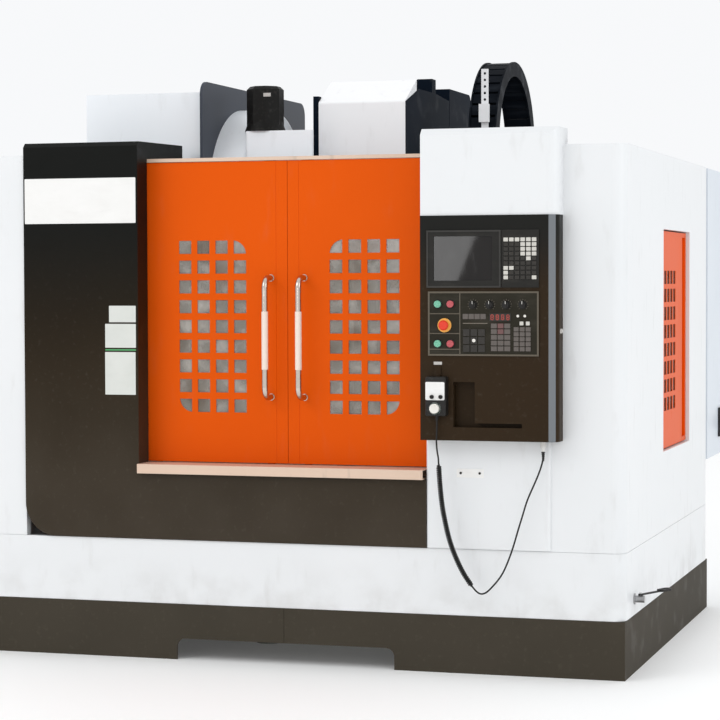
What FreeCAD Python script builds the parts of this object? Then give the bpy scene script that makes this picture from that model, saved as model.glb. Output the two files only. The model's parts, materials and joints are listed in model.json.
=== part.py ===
"""Vertical machining centre: enclosed three-axis mill with an arm tool changer.

Millimetres. +X is the operator's right, +Y runs from the door side to the rear, +Z is up.
While it is drawn, X = 0 is the middle of the base, Y = 0 its front and Z = 0 the floor.
At the end everything is shifted so that the origin is the middle of the footprint.
"""
import FreeCAD
import Part
import math
import os

V = FreeCAD.Vector
X_AXIS = V(1, 0, 0)
Y_AXIS = V(0, 1, 0)
Z_AXIS = V(0, 0, 1)

# ---------------------------------------------------------------- driving dimensions
# enclosure
machine_width = 2840.0
base_depth = 2145.0
base_height = 233.0
seam_height = 502.0
body_height = 2116.0
corner_radius = 52.0
sheet = 3.0
flange = 40.0
panel_gap = 2.0
skirt_wall = 8.0
fork_notch_width = 946.0
fork_notch_height = 88.0
fork_notch_radius = 35.0
bed_hole_margin = 8.0
cover_split = 72.0

# door opening and front panel
opening_left = -637.0
right_cover_width = 808.0
sill_height = 818.0
sill_thickness = 39.0
sill_proud = 22.0
sill_depth_behind_door = 20.0
sill_right_trim = 10.0
front_panel_left = -1158.0
front_panel_proud = 8.0
front_panel_rise = 32.0
front_panel_radius = 140.0
reveal_gap = 7.0
pocket_cover_height = 26.0
pocket_cover_bevel = 18.0
pocket_cover_fall = 8.0
pocket_cover_gap = 4.0

# sliding doors
door_setback = 105.0
door_thickness = 25.0
door_seam_offset = 1.5
door_seam_gap = 2.0
door_overlap = 40.5
door_top_drop = 37.0
door_floor_gap = 4.0
door_stop_margin = 130.0
door_fold_inset = 50.0
door_fold_depth = 1.0
door_fold_width = 2.0
rail_height = 15.0
rail_depth = 36.0
rail_gap = 2.0
rail_lead = 5.0
rail_overrun = 10.0
hanger_inset = 60.0
hanger_width = 40.0
hanger_height = 60.0
roller_inset = 80.0
roller_width = 50.0
roller_guide_width = 30.0
roller_thickness = 6.0
roller_height = 30.0
window_columns = 4
window_rows = 9
window_hole = 55.0
window_pitch_x = 81.5
window_pitch_z = 83.0
window_drop = 57.5
window_cut_radius = 60.0
pane_thickness = 5.0
pane_margin = 30.0
handle_tube_radius = 12.5
handle_length = 495.0
handle_standoff = 80.0
handle_bend = 42.0
handle_offset = 73.0
handle_rise = 528.0
handle_rose_radius = 14.5
handle_rose_height = 3.0

# operator cabinet and console
cabinet_width = 559.0
cabinet_height = 321.0
cabinet_rise = 43.0
cabinet_proud = 90.0
cabinet_cap = 24.0
cabinet_cap_depth = 90.0
cabinet_corner = 44.0
service_panel_width = 511.0
service_panel_proud = 12.0
service_panel_bottom = 506.0
service_panel_edge = 9.0
service_panel_gap = 4.0
console_proud = 95.0
console_height = 893.0
console_corner = 38.0
console_wall = 3.0
unit_depth = 32.0
unit_proud = 4.0
unit_clearance = 0.3
screen_inset = 28.0
screen_width = 303.0
screen_rise = 607.0
screen_height = 227.0
glass_inset = 28.0
glass_inset_right = 35.0
glass_inset_top = 24.0
glass_recess = 5.0
glass_thickness = 6.0
keypad_width = 153.0
keypad_gap = 3.0
keypad_inset = 12.0
keypad_rise = 33.0
keypad_columns = 6
keypad_rows = 9
keypad_pitch_x = 22.8
keypad_pitch_z = 18.6
keypad_key_width = 17.0
keypad_key_height = 14.0
panel_inset = 34.0
panel_rise = 337.0
panel_height = 255.0
panel_rim = 7.0
panel_rim_height = 2.0
panel_divider_width = 131.0
divider_thickness = 4.0
divider_lift = 4.0
divider_low = 26.0
key_height = 2.5
jog_inset = 13.0
jog_rise = 16.0
jog_pitch_x = 31.0
jog_pitch_z = 31.5
jog_key_width = 26.0
jog_key_height = 27.0
mode_inset = 127.0
mode_rise = 20.0
mode_pitch_x = 27.0
mode_pitch_z = 22.5
mode_key_width = 23.0
mode_key_height = 18.0
function_inset = 219.0
function_pitch_x = 24.0
function_pitch_z = 19.5
function_key_width = 19.0
function_key_height = 16.0
strip_inset = 12.0
strip_rise = 146.0
strip_pitch = 24.0
strip_key_width = 21.0
strip_key_height = 20.0
display_inset = 121.0
display_rise = 138.0
display_width = 85.0
display_height = 30.0
pair_inset = 243.0
pair_rise = 122.0
pair_pitch = 25.0
pair_key = 14.0
lamp_inset = 235.0
lamp_rise = 158.0
lamp_pitch = 28.0
lamp_radius = 5.0
pocket_inset = 136.0
pocket_width = 88.0
pocket_slot_width = 279.0
pocket_rise = 53.0
pocket_slot_height = 17.0
pocket_height = 180.0
pocket_depth = 42.0

# buttons and knobs on the panel
button_inset = 41.0
button_pitch = 52.0
button_drop = 50.0
button_rise = 48.0
button_radius = 14.0
button_height = 9.0
button_edge = 1.5
button_gap = 0.5
button_travel = 4.0
button_stem_radius = 9.0
button_stem_length = 24.0
running_clearance = 0.05
stop_inset = 68.0
stop_rise = 121.0
stop_head_radius = 20.0
stop_head_height = 17.0
stop_collar_radius = 28.0
stop_collar_height = 4.0
stop_travel = 6.0
knob_inset = 54.0
knob_pitch = 67.0
knob_count = 4
knob_drop = 53.0
knob_radius = 16.0
knob_height = 15.0
knob_fin_width = 6.0
knob_fin_height = 2.0
knob_spindle_radius = 3.0
knob_spindle_length = 9.0
seat_clearance = 0.3

# handheld pulse generator and its cord
pendant_inset = 30.0
pendant_width = 86.0
pendant_rise = 98.0
pendant_height = 157.0
pendant_depth = 42.0
pendant_edge = 8.0
dial_inset = 42.0
dial_rise = 31.0
dial_radius = 19.0
dial_height = 15.0
dial_seat = 1.0
dial_pivot_radius = 7.6
spinner_radius = 3.0
spinner_height = 5.0
spinner_offset = 11.4
selector_rise = 77.0
selector_radius = 8.0
selector_height = 8.0
selector_fin_width = 3.0
selector_fin_height = 2.0
selector_spindle = 2.0
selector_inset = 12.0
selector_spread = 24.0
hook_width = 26.0
hook_thickness = 5.0
hook_reach = 20.0
hook_height = 42.0
cord_diameter = 7.0
cord_sleeve = 1.5
cord_exit = 44.0
curl_diameter = 22.0
curl_turns = 60
relief_length = 18.0
relief_radius = 7.5
gland_inset = 68.0
gland_setback = 43.0
gland_radius = 12.0
gland_length = 24.0
gland_nut_radius = 9.0
gland_nut_length = 18.0

# the cord's course, as (x, y, z) from the console's lower left corner
lead_course = ((74, -21, 45), (72, -23, -5), (75, -21, -45))
curl_course = ((80, -18, -88), (87, -13, -210), (103, -8, -320), (131, -3, -427), (172, 3, -520),
               (214, 8, -585))
rise_course = ((246, 11, -611), (267, 13, -604), (287, 15, -584), (310, 17, -558), (332, 19, -527),
               (353, 21, -480), (375, 24, -417), (392, 27, -355), (411, 30, -293), (425, 33, -243),
               (441, 35, -204), (458, 38, -166), (476, 41, -122), (487, 43, -87))
lead_end = 22.0
rise_start = 23.0
gland_lead = 21.0

# side door in the right-hand cover
side_opening_rear_gap = 553.0
side_opening_width = 705.0
side_opening_bottom = 842.0
side_opening_drop = 318.0
side_recess = 16.0
side_clearance = 6.0
side_door_thickness = 20.0
side_columns = 5
side_rows = 8
side_hole = 58.0
side_pitch = 79.0
side_window_inset = 35.0
side_window_drop = 5.0
side_grip_inset = 114.0
side_grip_width = 84.0
side_grip_depth = 12.0
side_grip_end = 20.0
pivot_radius = 5.0
pivot_inset = 12.0
pivot_boss = 20.0

# drain valve low on the right side
valve_y = 200.0
valve_z = 300.0
valve_body_radius = 14.0
valve_body_length = 42.0
valve_rose_radius = 22.4
valve_rose_height = 5.0
valve_stem_radius = 5.0
valve_stem_reach = 26.0
valve_stem_head = 5.0
lever_length = 210.0
lever_width = 20.0
lever_shank_width = 12.0
lever_thickness = 6.0
lever_gap = 1.0
lever_angle = 66.0
lever_eye_length = 80.0
lever_eye_width = 34.0
lever_eye_hole = 17.0
lever_eye_thickness = 9.6

# electrical cabinet on the rear
ecabinet_left = 560.0
ecabinet_depth = 500.0
ecabinet_bottom = 716.0
ecabinet_door_thickness = 22.0
ecabinet_hinge_radius = 8.0
ecabinet_hinge_leaf = 24.0
ecabinet_hinge_height = 30.0
ecabinet_hinge_inset = 180.0
ecabinet_door_gap = 1.0
ecabinet_door_margin = 4.0
ecabinet_door_edge = 2.0
ecabinet_grip_inset = 60.0
ecabinet_grip_width = 24.0
ecabinet_grip_height = 140.0
ecabinet_grip_depth = 28.0
ecabinet_grip_bar = 12.0
ecabinet_grip_foot = 20.0
mounting_plate_gap = 60.0
mounting_plate_margin = 100.0
drive_count = 4
drive_inset = 120.0
drive_drop = 240.0
drive_width = 95.0
drive_pitch = 130.0
drive_height = 380.0
drive_depth = 170.0
switchgear_rise = 160.0
switchgear_height = 170.0
switchgear_depth = 85.0
isolator_inset = 105.0
isolator_rise = 157.0
isolator_plate_width = 90.0
isolator_plate_height = 143.0
isolator_plate_thickness = 12.0
isolator_radius = 32.0
isolator_height = 30.0
isolator_disc_height = 10.0
isolator_bar_width = 16.0
isolator_spigot_radius = 9.0
isolator_spigot_length = 10.0

# machine inside the enclosure
spindle_x = 65.0
spindle_reach = 620.0
table_length = 1000.0
table_width = 600.0
table_top = 960.0
table_thickness = 90.0
slot_count = 5
slot_pitch = 110.0
slot_width = 18.0
slot_depth = 30.0
slot_foot_width = 30.0
slot_foot_height = 12.0
rail_section = 45.0
rail_stand = 38.0
rail_offset = 230.0
rail_inner_offset = 200.0
rail_end = 30.0
block_length = 120.0
block_width = 86.0
block_cover = 24.0
block_skirt = 20.9
block_clearance = 0.5
block_spacing_x = 230.0
block_spacing_y = 190.0
block_spacing_z = 170.0
saddle_width = 660.0
saddle_depth = 520.0
saddle_thickness = 90.0
saddle_motor_length = 160.0
saddle_motor_width = 110.0
saddle_motor_height = 85.0
saddle_motor_drop = 15.0
y_travel = 300.0
z_travel = 600.0
bed_width = 700.0
bed_reach = 630.0
bed_foot_clearance = 60.0
bed_wall = 60.0
bed_deck = 72.0
column_gap = 45.0
column_width = 600.0
column_depth = 370.0
column_bottom = 700.0
column_wall = 45.0
column_roof = 90.0
column_window_rise = 250.0
column_window_height = 600.0
column_window_width = 300.0
screw_radius = 20.0
screw_clearance = 14.0
screw_wall_gap = 18.0
screw_seat_depth = 40.0
screw_seat_height = 60.0
screw_end = 20.0
servo_width = 130.0
servo_length = 180.0
servo_height = 130.0
servo_rise = 30.0
z_servo_length = 120.0
z_bearing_width = 120.0
z_bearing_height = 40.0
z_bearing_drop = 140.0
z_bearing_reach = 30.0
z_bridge_width = 160.0
z_bridge_depth = 90.0
z_bridge_reach = 40.0
foot_radius = 55.0
foot_top_radius = 33.0
foot_height = 30.0
foot_stud_radius = 15.0

# head
head_overhang = 212.0
head_half_width = 205.0
head_rear_gap = 90.0
head_bottom = 1720.0
head_top = 2486.0
head_shoulder_fall = 111.0
head_bevel_depth = 192.0
head_bevel_fall = 48.0
head_hood_fall = 40.0
head_brow = 40.0
head_rear_fall = 16.0
head_rear_bevel = 230.0
head_cover_lap = 20.0
head_cover_fall = 107.0
head_cover_gap = 4.0
head_cover_radius = 14.0
head_casting_half = 160.0
head_casting_setback = 77.0
head_casting_lap = 28.0
head_casting_fall = 211.0
head_slide_z = 1960.0
head_slide_depth = 50.0
head_slide_gap = 1.0
head_rib_setback = 150.0
head_rib_depth = 40.0
head_rib_drop = 200.0
channel_width = 25.0
channel_depth = 40.0
channel_setback = 8.0
channel_fall = 78.0
channel_rise = 20.0
connector_width = 70.0
connector_depth = 65.0
connector_height = 24.0
connector_setback = 437.0
spindle_radius = 45.0
spindle_nose_radius = 64.0
spindle_nose_length = 20.0
spindle_nose_gap = 0.5
spindle_length = 420.0
spindle_end_gap = 5.0
spindle_key_width = 16.0
spindle_key_offset = 32.0
spindle_key_height = 6.0
taper_mouth_radius = 22.2
taper_depth = 68.0
taper_end_radius = 12.3
motor_size = 140.0
motor_setback = 40.0
motor_head_room = 12.0
z_cover_gap = 6.0
z_cover_rear_gap = 50.0
z_cover_rise = 2.0
z_cover_height = 198.0
z_cover_radius = 40.0

# tool changer
magazine_plate_x = -560.0
magazine_plate_thickness = 12.0
magazine_plate_reach = 525.0
magazine_plate_rear_gap = 136.0
magazine_plate_bottom = 1420.0
magazine_plate_top = 2460.0
magazine_plate_radius = 62.0
magazine_lead = 35.0
magazine_z = 1905.0
magazine_radius = 460.0
magazine_cover_width = 158.0
magazine_edge_radius = 14.0
gate_width = 140.0
gate_height = 80.0
gate_margin = 40.0
bracket_setback = 40.0
bracket_rear_gap = 20.0
bracket_half_height = 150.0
spine_rise = 60.0
spine_inset = 20.0
tool_pots = 24
pot_radius = 30.0
pot_bore_radius = 21.0
pot_floor = 20.0
pot_length = 110.0
pot_circle = 380.0
disc_gap = 2.0
disc_thickness = 16.0
disc_radius = 420.0
hub_radius = 40.0
hub_seat = 45.0
hub_cover_clearance = 3.0
tool_bay_clearance = 12.0
guard_left = -1135.0
guard_reach = 475.0
guard_depth = 960.0
guard_top = 2415.0
cam_left = -395.0
cam_right = -175.0
cam_reach = 470.0
cam_depth = 620.0
cam_bottom = 1560.0
cam_top = 2241.0
cam_corner = 14.0
cam_face_right = -84.0
cam_face_depth = 24.0
cam_motor_x = -326.0
cam_motor_setback = 78.0
cam_motor_radius = 76.0
cam_motor_sides = 8
cam_motor_height = 199.0
cam_motor_chamfer = 14.0
cam_flange_radius = 92.0
cam_flange_height = 42.0
arm_reach = 330.0
arm_width = 70.0
arm_thickness = 28.0
arm_neck = 45.0
arm_shaft_radius = 28.0
arm_shaft_length = 200.0
arm_shaft_end_gap = 20.0
arm_drop = 8.0
arm_claw_radius = 46.0
arm_jaw_radius = 32.0
arm_mouth_width = 120.0
arm_mouth_depth = 60.0
arm_mouth_setback = 8.0

# cable chain over the head
chain_inset = 28.0
chain_width = 129.0
chain_setback = 280.0
chain_outer_radius = 390.0
chain_band = 66.0
chain_top = 2585.0
chain_plate = 8.0
chain_links = 20
chain_lid_width = 48.0
chain_lid_height = 8.0
chain_lid_inset = 5.0
chain_leg_links = 2
chain_shelf_thickness = 12.0
chain_web_height = 100.0
chain_web_thickness = 10.0
chain_web_inset = 20.0
clip_inset = 62.0
clip_width = 32.0
clip_thickness = 5.0
clip_height = 327.0
clip_foot = 60.0
clip_hole_radius = 6.0
clip_hole_count = 5
clip_hole_pitch = 29.0
clip_hole_drop = 20.0
clamp_width = 44.0
clamp_height = 80.0
clamp_depth = 24.0
clamp_rise = 90.0

# ---------------------------------------------------------------- values worked out
half_width = machine_width / 2
inner_half = half_width - sheet
front_face = -front_panel_proud
sill_under = sill_height - sill_thickness
front_panel_top = body_height + front_panel_rise

opening_right = half_width - right_cover_width
door_front = door_setback
door_rear = door_front + door_thickness
door_top = body_height - door_top_drop
door_seam_x = (opening_left + opening_right) / 2 - door_seam_offset
door_width = (opening_right - opening_left) / 2 + door_overlap
door_travel = door_width - door_stop_margin
window_offset = door_width / 2
window_middle_z = (sill_height + door_top) / 2 - window_drop
handle_middle_z = sill_height + handle_rise
rail_low = door_top + rail_gap
rail_top = rail_low + rail_height

cabinet_left = opening_right
cabinet_right = cabinet_left + cabinet_width
cabinet_top = body_height + cabinet_rise
cabinet_bottom = cabinet_top - cabinet_height
console_bottom = cabinet_bottom - console_height
console_face = -console_proud
unit_front = console_face - unit_proud
seat_of_unit = unit_front + unit_depth
screen_left = cabinet_left + screen_inset
screen_right = screen_left + screen_width
screen_bottom = console_bottom + screen_rise
screen_top = screen_bottom + screen_height
keypad_right = screen_right + keypad_width
panel_left = cabinet_left + panel_inset
panel_bottom = console_bottom + panel_rise
panel_top = panel_bottom + panel_height
panel_divider_x = panel_left + panel_divider_width
button_left_x = panel_left + button_inset
button_right_x = button_left_x + button_pitch
button_upper_z = panel_top - button_drop
button_lower_z = panel_bottom + button_rise
stop_x = panel_left + stop_inset
stop_z = panel_bottom + stop_rise
knob_z = panel_top - knob_drop
pendant_left = cabinet_left + pendant_inset
pendant_right = pendant_left + pendant_width
pendant_bottom = console_bottom + pendant_rise
pendant_top = pendant_bottom + pendant_height
gland_x = cabinet_right - gland_inset
gland_y = console_face + gland_setback

side_opening_rear = base_depth - side_opening_rear_gap
side_opening_front = side_opening_rear - side_opening_width
side_opening_top = body_height - side_opening_drop
side_window_middle_z = (side_opening_bottom + side_opening_top) / 2 - side_window_drop
ecabinet_rear = base_depth + ecabinet_depth
isolator_y = ecabinet_rear - isolator_inset
isolator_z = ecabinet_bottom + isolator_rise

column_rear = base_depth - column_gap
column_front = column_rear - column_depth
spindle_y = column_front - spindle_reach
bed_front = spindle_y - bed_reach
bed_rail_top = table_top - table_thickness - rail_stand - block_cover - saddle_thickness - block_cover
bed_top = bed_rail_top - rail_stand
saddle_bottom = bed_rail_top + block_cover
saddle_top = saddle_bottom + saddle_thickness
table_bottom = table_top - table_thickness
z_cover_top = head_top + z_cover_rise
column_top = z_cover_top - z_cover_height
head_front = spindle_y - head_overhang
head_rear = column_front - head_rear_gap
hood_top = head_top - head_hood_fall
head_bevel_rear = head_front + head_bevel_depth
head_casting_front = head_front + head_casting_setback
head_casting_bottom = head_bottom - head_casting_lap
head_casting_top = head_top - head_casting_fall
nose_z = head_casting_bottom - spindle_nose_length

magazine_y = spindle_y - magazine_lead
magazine_plate_front = magazine_y - magazine_plate_reach
magazine_plate_rear = column_rear - magazine_plate_rear_gap
beam_front = magazine_plate_front - panel_gap - flange
pocket_cover_depth = beam_front - pocket_cover_gap
guard_front = magazine_y - guard_reach
guard_rear = guard_front + guard_depth
cam_front = spindle_y - cam_reach
cam_rear = cam_front + cam_depth
arm_x = spindle_x - arm_reach
arm_top = magazine_plate_bottom - arm_drop
chain_right = cabinet_left + chain_inset
chain_middle_y = column_front - chain_setback
chain_centre_z = chain_top - chain_outer_radius

parts = {}


# ---------------------------------------------------------------- small helpers
def block(x0, x1, y0, y1, z0, z1):
    """Box between two corners."""
    return Part.makeBox(x1 - x0, y1 - y0, z1 - z0, V(x0, y0, z0))


def rod(radius, start, end):
    """Round bar between two points."""
    axis = end - start
    return Part.makeCylinder(radius, axis.Length, start, axis)


def prism_yz(points, x0, x1):
    """Outline given as (y, z) corners, drawn out along X."""
    corners = [V(x0, y, z) for y, z in points]
    corners.append(corners[0])
    return Part.Face(Part.makePolygon(corners)).extrude(V(x1 - x0, 0, 0))


def prism_xz(points, y0, y1):
    """Outline given as (x, z) corners, drawn out along Y."""
    corners = [V(x, y0, z) for x, z in points]
    corners.append(corners[0])
    return Part.Face(Part.makePolygon(corners)).extrude(V(0, y1 - y0, 0))


def edges_along(shape, direction, test):
    """Straight edges parallel to a direction whose middle passes a test."""
    found = []
    for edge in shape.Edges:
        span = edge.Vertexes[-1].Point - edge.Vertexes[0].Point
        if span.Length < 1e-6 or abs(abs(span.dot(direction)) - span.Length) > 1e-6:
            continue
        if test(edge.CenterOfMass):
            found.append(edge)
    return found


def rounded(shape, radius, direction, test):
    """The shape with chosen edges rounded."""
    return shape.makeFillet(radius, edges_along(shape, direction, test))


def plan_prism(inset, z0, z1):
    """The enclosure's plan with rounded corners, shrunk by an inset."""
    solid = block(inset - half_width, half_width - inset, inset, base_depth - inset, z0, z1)
    return rounded(solid, corner_radius - inset, Z_AXIS, lambda point: True)


def plan_ring(wall, z0, z1):
    """A wall of the enclosure's plan."""
    if wall < corner_radius:
        return plan_prism(0, z0, z1).cut(plan_prism(wall, z0 - 1, z1 + 1))
    core = block(wall - half_width, half_width - wall, wall, base_depth - wall, z0 - 1, z1 + 1)
    return plan_prism(0, z0, z1).cut(core)


def tray_ring(z0, z1):
    """Sheet wall with inward flanges at its foot and its head, a small gap below the skin."""
    skin = plan_ring(sheet, z0 + panel_gap, z1)
    foot = plan_ring(flange, z0, z0 + 2 * sheet).cut(plan_ring(sheet, z0 - 1, z0 + panel_gap))
    head = plan_ring(flange, z1 - sheet, z1)
    return skin.fuse([foot, head])


def add(name, *solids):
    """Store one node, made of one solid or a group."""
    parts[name] = solids[0] if len(solids) == 1 else Part.makeCompound(list(solids))


# ---------------------------------------------------------------- base and covers
def build_base():
    """Dark welded skirt with fork notches front and rear, closed by a deck plate."""
    outer = block(-half_width, half_width, 0, base_depth, 0, base_height)
    cavity = block(skirt_wall - half_width, half_width - skirt_wall,
                   skirt_wall, base_depth - skirt_wall, -1, base_height - skirt_wall)
    bed_half = bed_width / 2 + bed_hole_margin
    bed_hole = block(spindle_x - bed_half, spindle_x + bed_half, bed_front - bed_hole_margin,
                     column_rear + bed_hole_margin, 0, base_height + 1)
    notch_half = fork_notch_width / 2
    notch = block(-notch_half, notch_half, -1, base_depth + 1, -fork_notch_height, fork_notch_height)
    notch = rounded(notch, fork_notch_radius, Y_AXIS, lambda point: point.z > 0)
    joint = block(-panel_gap / 2, panel_gap / 2, -1, panel_gap, fork_notch_height, base_height + 1)
    add("base_skirt", outer.cut([cavity, bed_hole, notch, joint]))


def levelling_feet():
    """Six feet with studs that carry the bed."""
    feet = []
    reach = (bed_width - bed_wall) / 2
    for x in (spindle_x - reach, spindle_x + reach):
        for y in (bed_front + bed_wall, (bed_front + column_rear) / 2, column_rear - bed_wall):
            pad = Part.makeCone(foot_radius, foot_top_radius, foot_height, V(x, y, 0))
            stud = rod(foot_stud_radius, V(x, y, foot_height), V(x, y, bed_foot_clearance))
            feet.append(pad.fuse(stud))
    return feet


def build_covers():
    """White sheet covers: a lower band all round, and tall left, right and rear covers."""
    band = tray_ring(base_height, seam_height - panel_gap / 2)
    rear_split = base_depth - cover_split
    front = block(-half_width, half_width, -1, cover_split, 0, body_height)
    rear = block(-half_width, half_width, rear_split, base_depth + 1, 0, body_height)
    left = block(-half_width - 1, 0, cover_split, rear_split, 0, body_height)
    right = block(0, half_width + 1, cover_split, rear_split, 0, body_height)
    add("lower_covers", *[band.common(region) for region in (front, rear, left, right)])

    tall = tray_ring(seam_height - panel_gap / 2, body_height)
    left_region = block(-half_width - 1, front_panel_left, -1, rear_split, 0, body_height)
    left_cover = tall.common(left_region)
    left_return = block(front_panel_left - sheet, front_panel_left, 0, flange, seam_height + 1, body_height)
    add("left_cover", left_cover.fuse(left_return))

    right_region = block(opening_right, half_width + 1, -1, rear_split, 0, body_height)
    window = block(half_width - 1.5 * flange, half_width + 1, side_opening_front, side_opening_rear,
                   side_opening_bottom, side_opening_top)
    right_cover = tall.common(right_region).cut(window)
    right_return = block(opening_right, opening_right + sheet, 0, flange, seam_height + 1, body_height)
    jamb = block(half_width - flange, half_width, side_opening_front - sheet, side_opening_rear + sheet,
                 side_opening_bottom - sheet, side_opening_top + sheet).cut(window)
    right_cover = right_cover.fuse([right_return, jamb])
    add("right_cover", right_cover.fuse(pivot_pins()))

    add("rear_cover", tall.common(rear))


def pivot_axis():
    """Upright axis of the side door, inside its front edge."""
    x = half_width - side_recess - side_door_thickness / 2
    return x, side_opening_front + side_clearance + pivot_inset


def pivot_pins():
    """Two pins that stand in the frame of the side opening, one below and one above."""
    x, y = pivot_axis()
    reach = side_clearance + pivot_boss
    return [rod(pivot_radius, V(x, y, side_opening_bottom), V(x, y, side_opening_bottom + reach)),
            rod(pivot_radius, V(x, y, side_opening_top - reach), V(x, y, side_opening_top))]


def build_front_panel():
    """Black L-shaped panel: door pocket column with its reveal, and fascia below the doors."""
    low = seam_height + panel_gap / 2
    outline = [(front_panel_left, low), (opening_right, low), (opening_right, sill_under),
               (opening_left, sill_under), (opening_left, front_panel_top),
               (front_panel_left, front_panel_top)]
    outer = prism_xz(outline, front_face, flange)

    def foot_corner(point):
        return point.x < front_panel_left + 1 and point.z < low + 1

    outer = rounded(outer, front_panel_radius, Y_AXIS, foot_corner)
    inner_outline = [(front_panel_left + sheet, low + sheet), (opening_right - sheet, low + sheet),
                     (opening_right - sheet, sill_under - sheet),
                     (opening_left - sheet, sill_under - sheet),
                     (opening_left - sheet, front_panel_top - sheet),
                     (front_panel_left + sheet, front_panel_top - sheet)]
    inner = prism_xz(inner_outline, front_face + sheet, flange + 1)

    def inner_corner(point):
        return point.x < front_panel_left + 2 * sheet and point.z < low + 2 * sheet

    inner = rounded(inner, front_panel_radius - sheet, Y_AXIS, inner_corner)
    reveal = block(opening_left - sheet, opening_left, flange - sheet, door_front - reveal_gap,
                   sill_under, rail_top + panel_gap)
    add("front_panel", outer.cut(inner).fuse(reveal), pocket_cover())


def pocket_cover():
    """Black lid over the pocket that the left door slides into, bevelled at the front."""
    low = front_panel_top
    high = low + pocket_cover_height
    bevel_y = front_face + pocket_cover_bevel
    rear = pocket_cover_depth
    outline = [(front_face, low), (bevel_y, high - pocket_cover_fall), (rear, high), (rear, body_height),
               (flange, body_height), (flange, low)]
    shell = prism_yz(outline, front_panel_left, opening_left)
    hollow_outline = [(bevel_y + sheet, low - 1), (bevel_y + sheet, high - pocket_cover_fall - sheet - 1),
                      (rear - sheet, high - sheet), (rear - sheet, body_height - 1),
                      (flange - 1, body_height - 1), (flange - 1, low - 1)]
    hollow = prism_yz(hollow_outline, front_panel_left + sheet, opening_left - sheet)
    skirt = block(opening_left - sheet, opening_left, flange, rear, rail_top + panel_gap, body_height)
    return shell.cut(hollow).fuse(skirt)


def build_roof():
    """Roof sheets left and right of the open middle, and the beam between them."""
    low = body_height - sheet
    high = body_height + sheet
    left = block(-inner_half, opening_left, corner_radius, base_depth - corner_radius, body_height, high)
    pocket = block(front_panel_left, opening_left + 1, 0, pocket_cover_depth, low, high + sheet)
    tools = block(guard_left + sheet, opening_left + 1, guard_front + sheet, guard_rear - sheet, low,
                  high + sheet)
    left = left.cut([pocket, tools])
    right_edge = cabinet_left + flange + sheet
    right = block(right_edge, inner_half, cabinet_cap_depth, base_depth - corner_radius, body_height, high)
    beam = block(opening_left, right_edge, beam_front, beam_front + flange, body_height - flange, high)
    add("roof_covers", left, right, beam)


# ---------------------------------------------------------------- sliding doors
def build_door_guides():
    """Top rail that the doors hang on, and the pale sill they run over."""
    reach = door_width + door_travel + rail_overrun
    rail_front = door_front - rail_lead
    rail_rear = rail_front + rail_depth
    rail = block(door_seam_x - reach, door_seam_x + reach, rail_front, rail_rear, rail_low, rail_top)
    half = hanger_width / 2
    hangers = []
    for x in (opening_left - hanger_inset, opening_right + hanger_inset):
        hangers.append(block(x - half, x + half, flange, rail_rear, rail_top, body_height))
    x = opening_left - hanger_inset
    hangers.append(block(x - half, x + half, front_face + sheet, flange, body_height - hanger_height,
                         body_height))
    add("door_rail", rail.fuse(hangers))

    sill_front = front_face - sill_proud
    sill_rear = door_rear + sill_depth_behind_door
    sill_right = opening_right - sill_right_trim
    sill = block(opening_left, sill_right, sill_front, sill_rear, sill_under, sill_height)
    hollow = block(opening_left - 1, opening_right, sill_front + sheet, sill_rear - sheet,
                   sill_under - 1, sill_height - sheet)
    ledge = block(opening_left, sill_right, front_face, flange, sill_under, sill_under + sheet)
    track = block(door_seam_x - reach, door_seam_x + reach, door_front - rail_lead - 1, sill_rear,
                  sill_height - sheet, sill_height)
    add("door_sill", sill.cut(hollow).fuse([ledge, track]))


def window_grid(middle_x, lean):
    """Square holes inside a field whose two opposite corners are cut round."""
    width = (window_columns - 1) * window_pitch_x + window_hole
    height = (window_rows - 1) * window_pitch_z + window_hole
    left = middle_x - width / 2
    low = window_middle_z - height / 2
    holes = []
    for column in range(window_columns):
        for row in range(window_rows):
            x = left + column * window_pitch_x
            z = low + row * window_pitch_z
            holes.append(block(x, x + window_hole, door_front - 1, door_front + sheet + 1, z,
                               z + window_hole))
    field = block(left, left + width, door_front - 2, door_front + sheet + 2, low, low + height)

    def cut_corner(point):
        return (point.x - middle_x) * (point.z - window_middle_z) * lean > 0

    field = rounded(field, window_cut_radius, Y_AXIS, cut_corner)
    return Part.makeCompound(holes).common(field)


def door_leaf(side):
    """One perforated sheet leaf with folded edges; side is -1 for the left one."""
    near = door_seam_x + side * door_seam_gap / 2
    far = door_seam_x + side * door_width
    x0 = min(near, far)
    x1 = max(near, far)
    low = sill_height + door_floor_gap
    leaf = block(x0, x1, door_front, door_rear, low, door_top)
    hollow = block(x0 + sheet, x1 - sheet, door_front + sheet, door_rear + 1, low + sheet, door_top - sheet)
    middle = door_seam_x + side * window_offset
    fold_x = door_seam_x + side * door_fold_inset
    fold_half = door_fold_width / 2
    fold = block(fold_x - fold_half, fold_x + fold_half, door_front - 1, door_front + door_fold_depth,
                 low - 1, door_top + 1)
    grid = window_grid(middle, -side)
    head_half = roller_width / 2
    foot_half = roller_guide_width / 2
    roller_y = door_rear - roller_thickness
    rollers = []
    for x in (x0 + roller_inset, x1 - roller_inset):
        rollers.append(block(x - head_half, x + head_half, roller_y, door_rear, door_top - roller_height,
                             rail_low - seat_clearance))
        rollers.append(block(x - foot_half, x + foot_half, roller_y, door_rear, sill_height + seat_clearance,
                             low + roller_height))
    return leaf.cut([hollow, fold, grid]).fuse(rollers), middle


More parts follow.
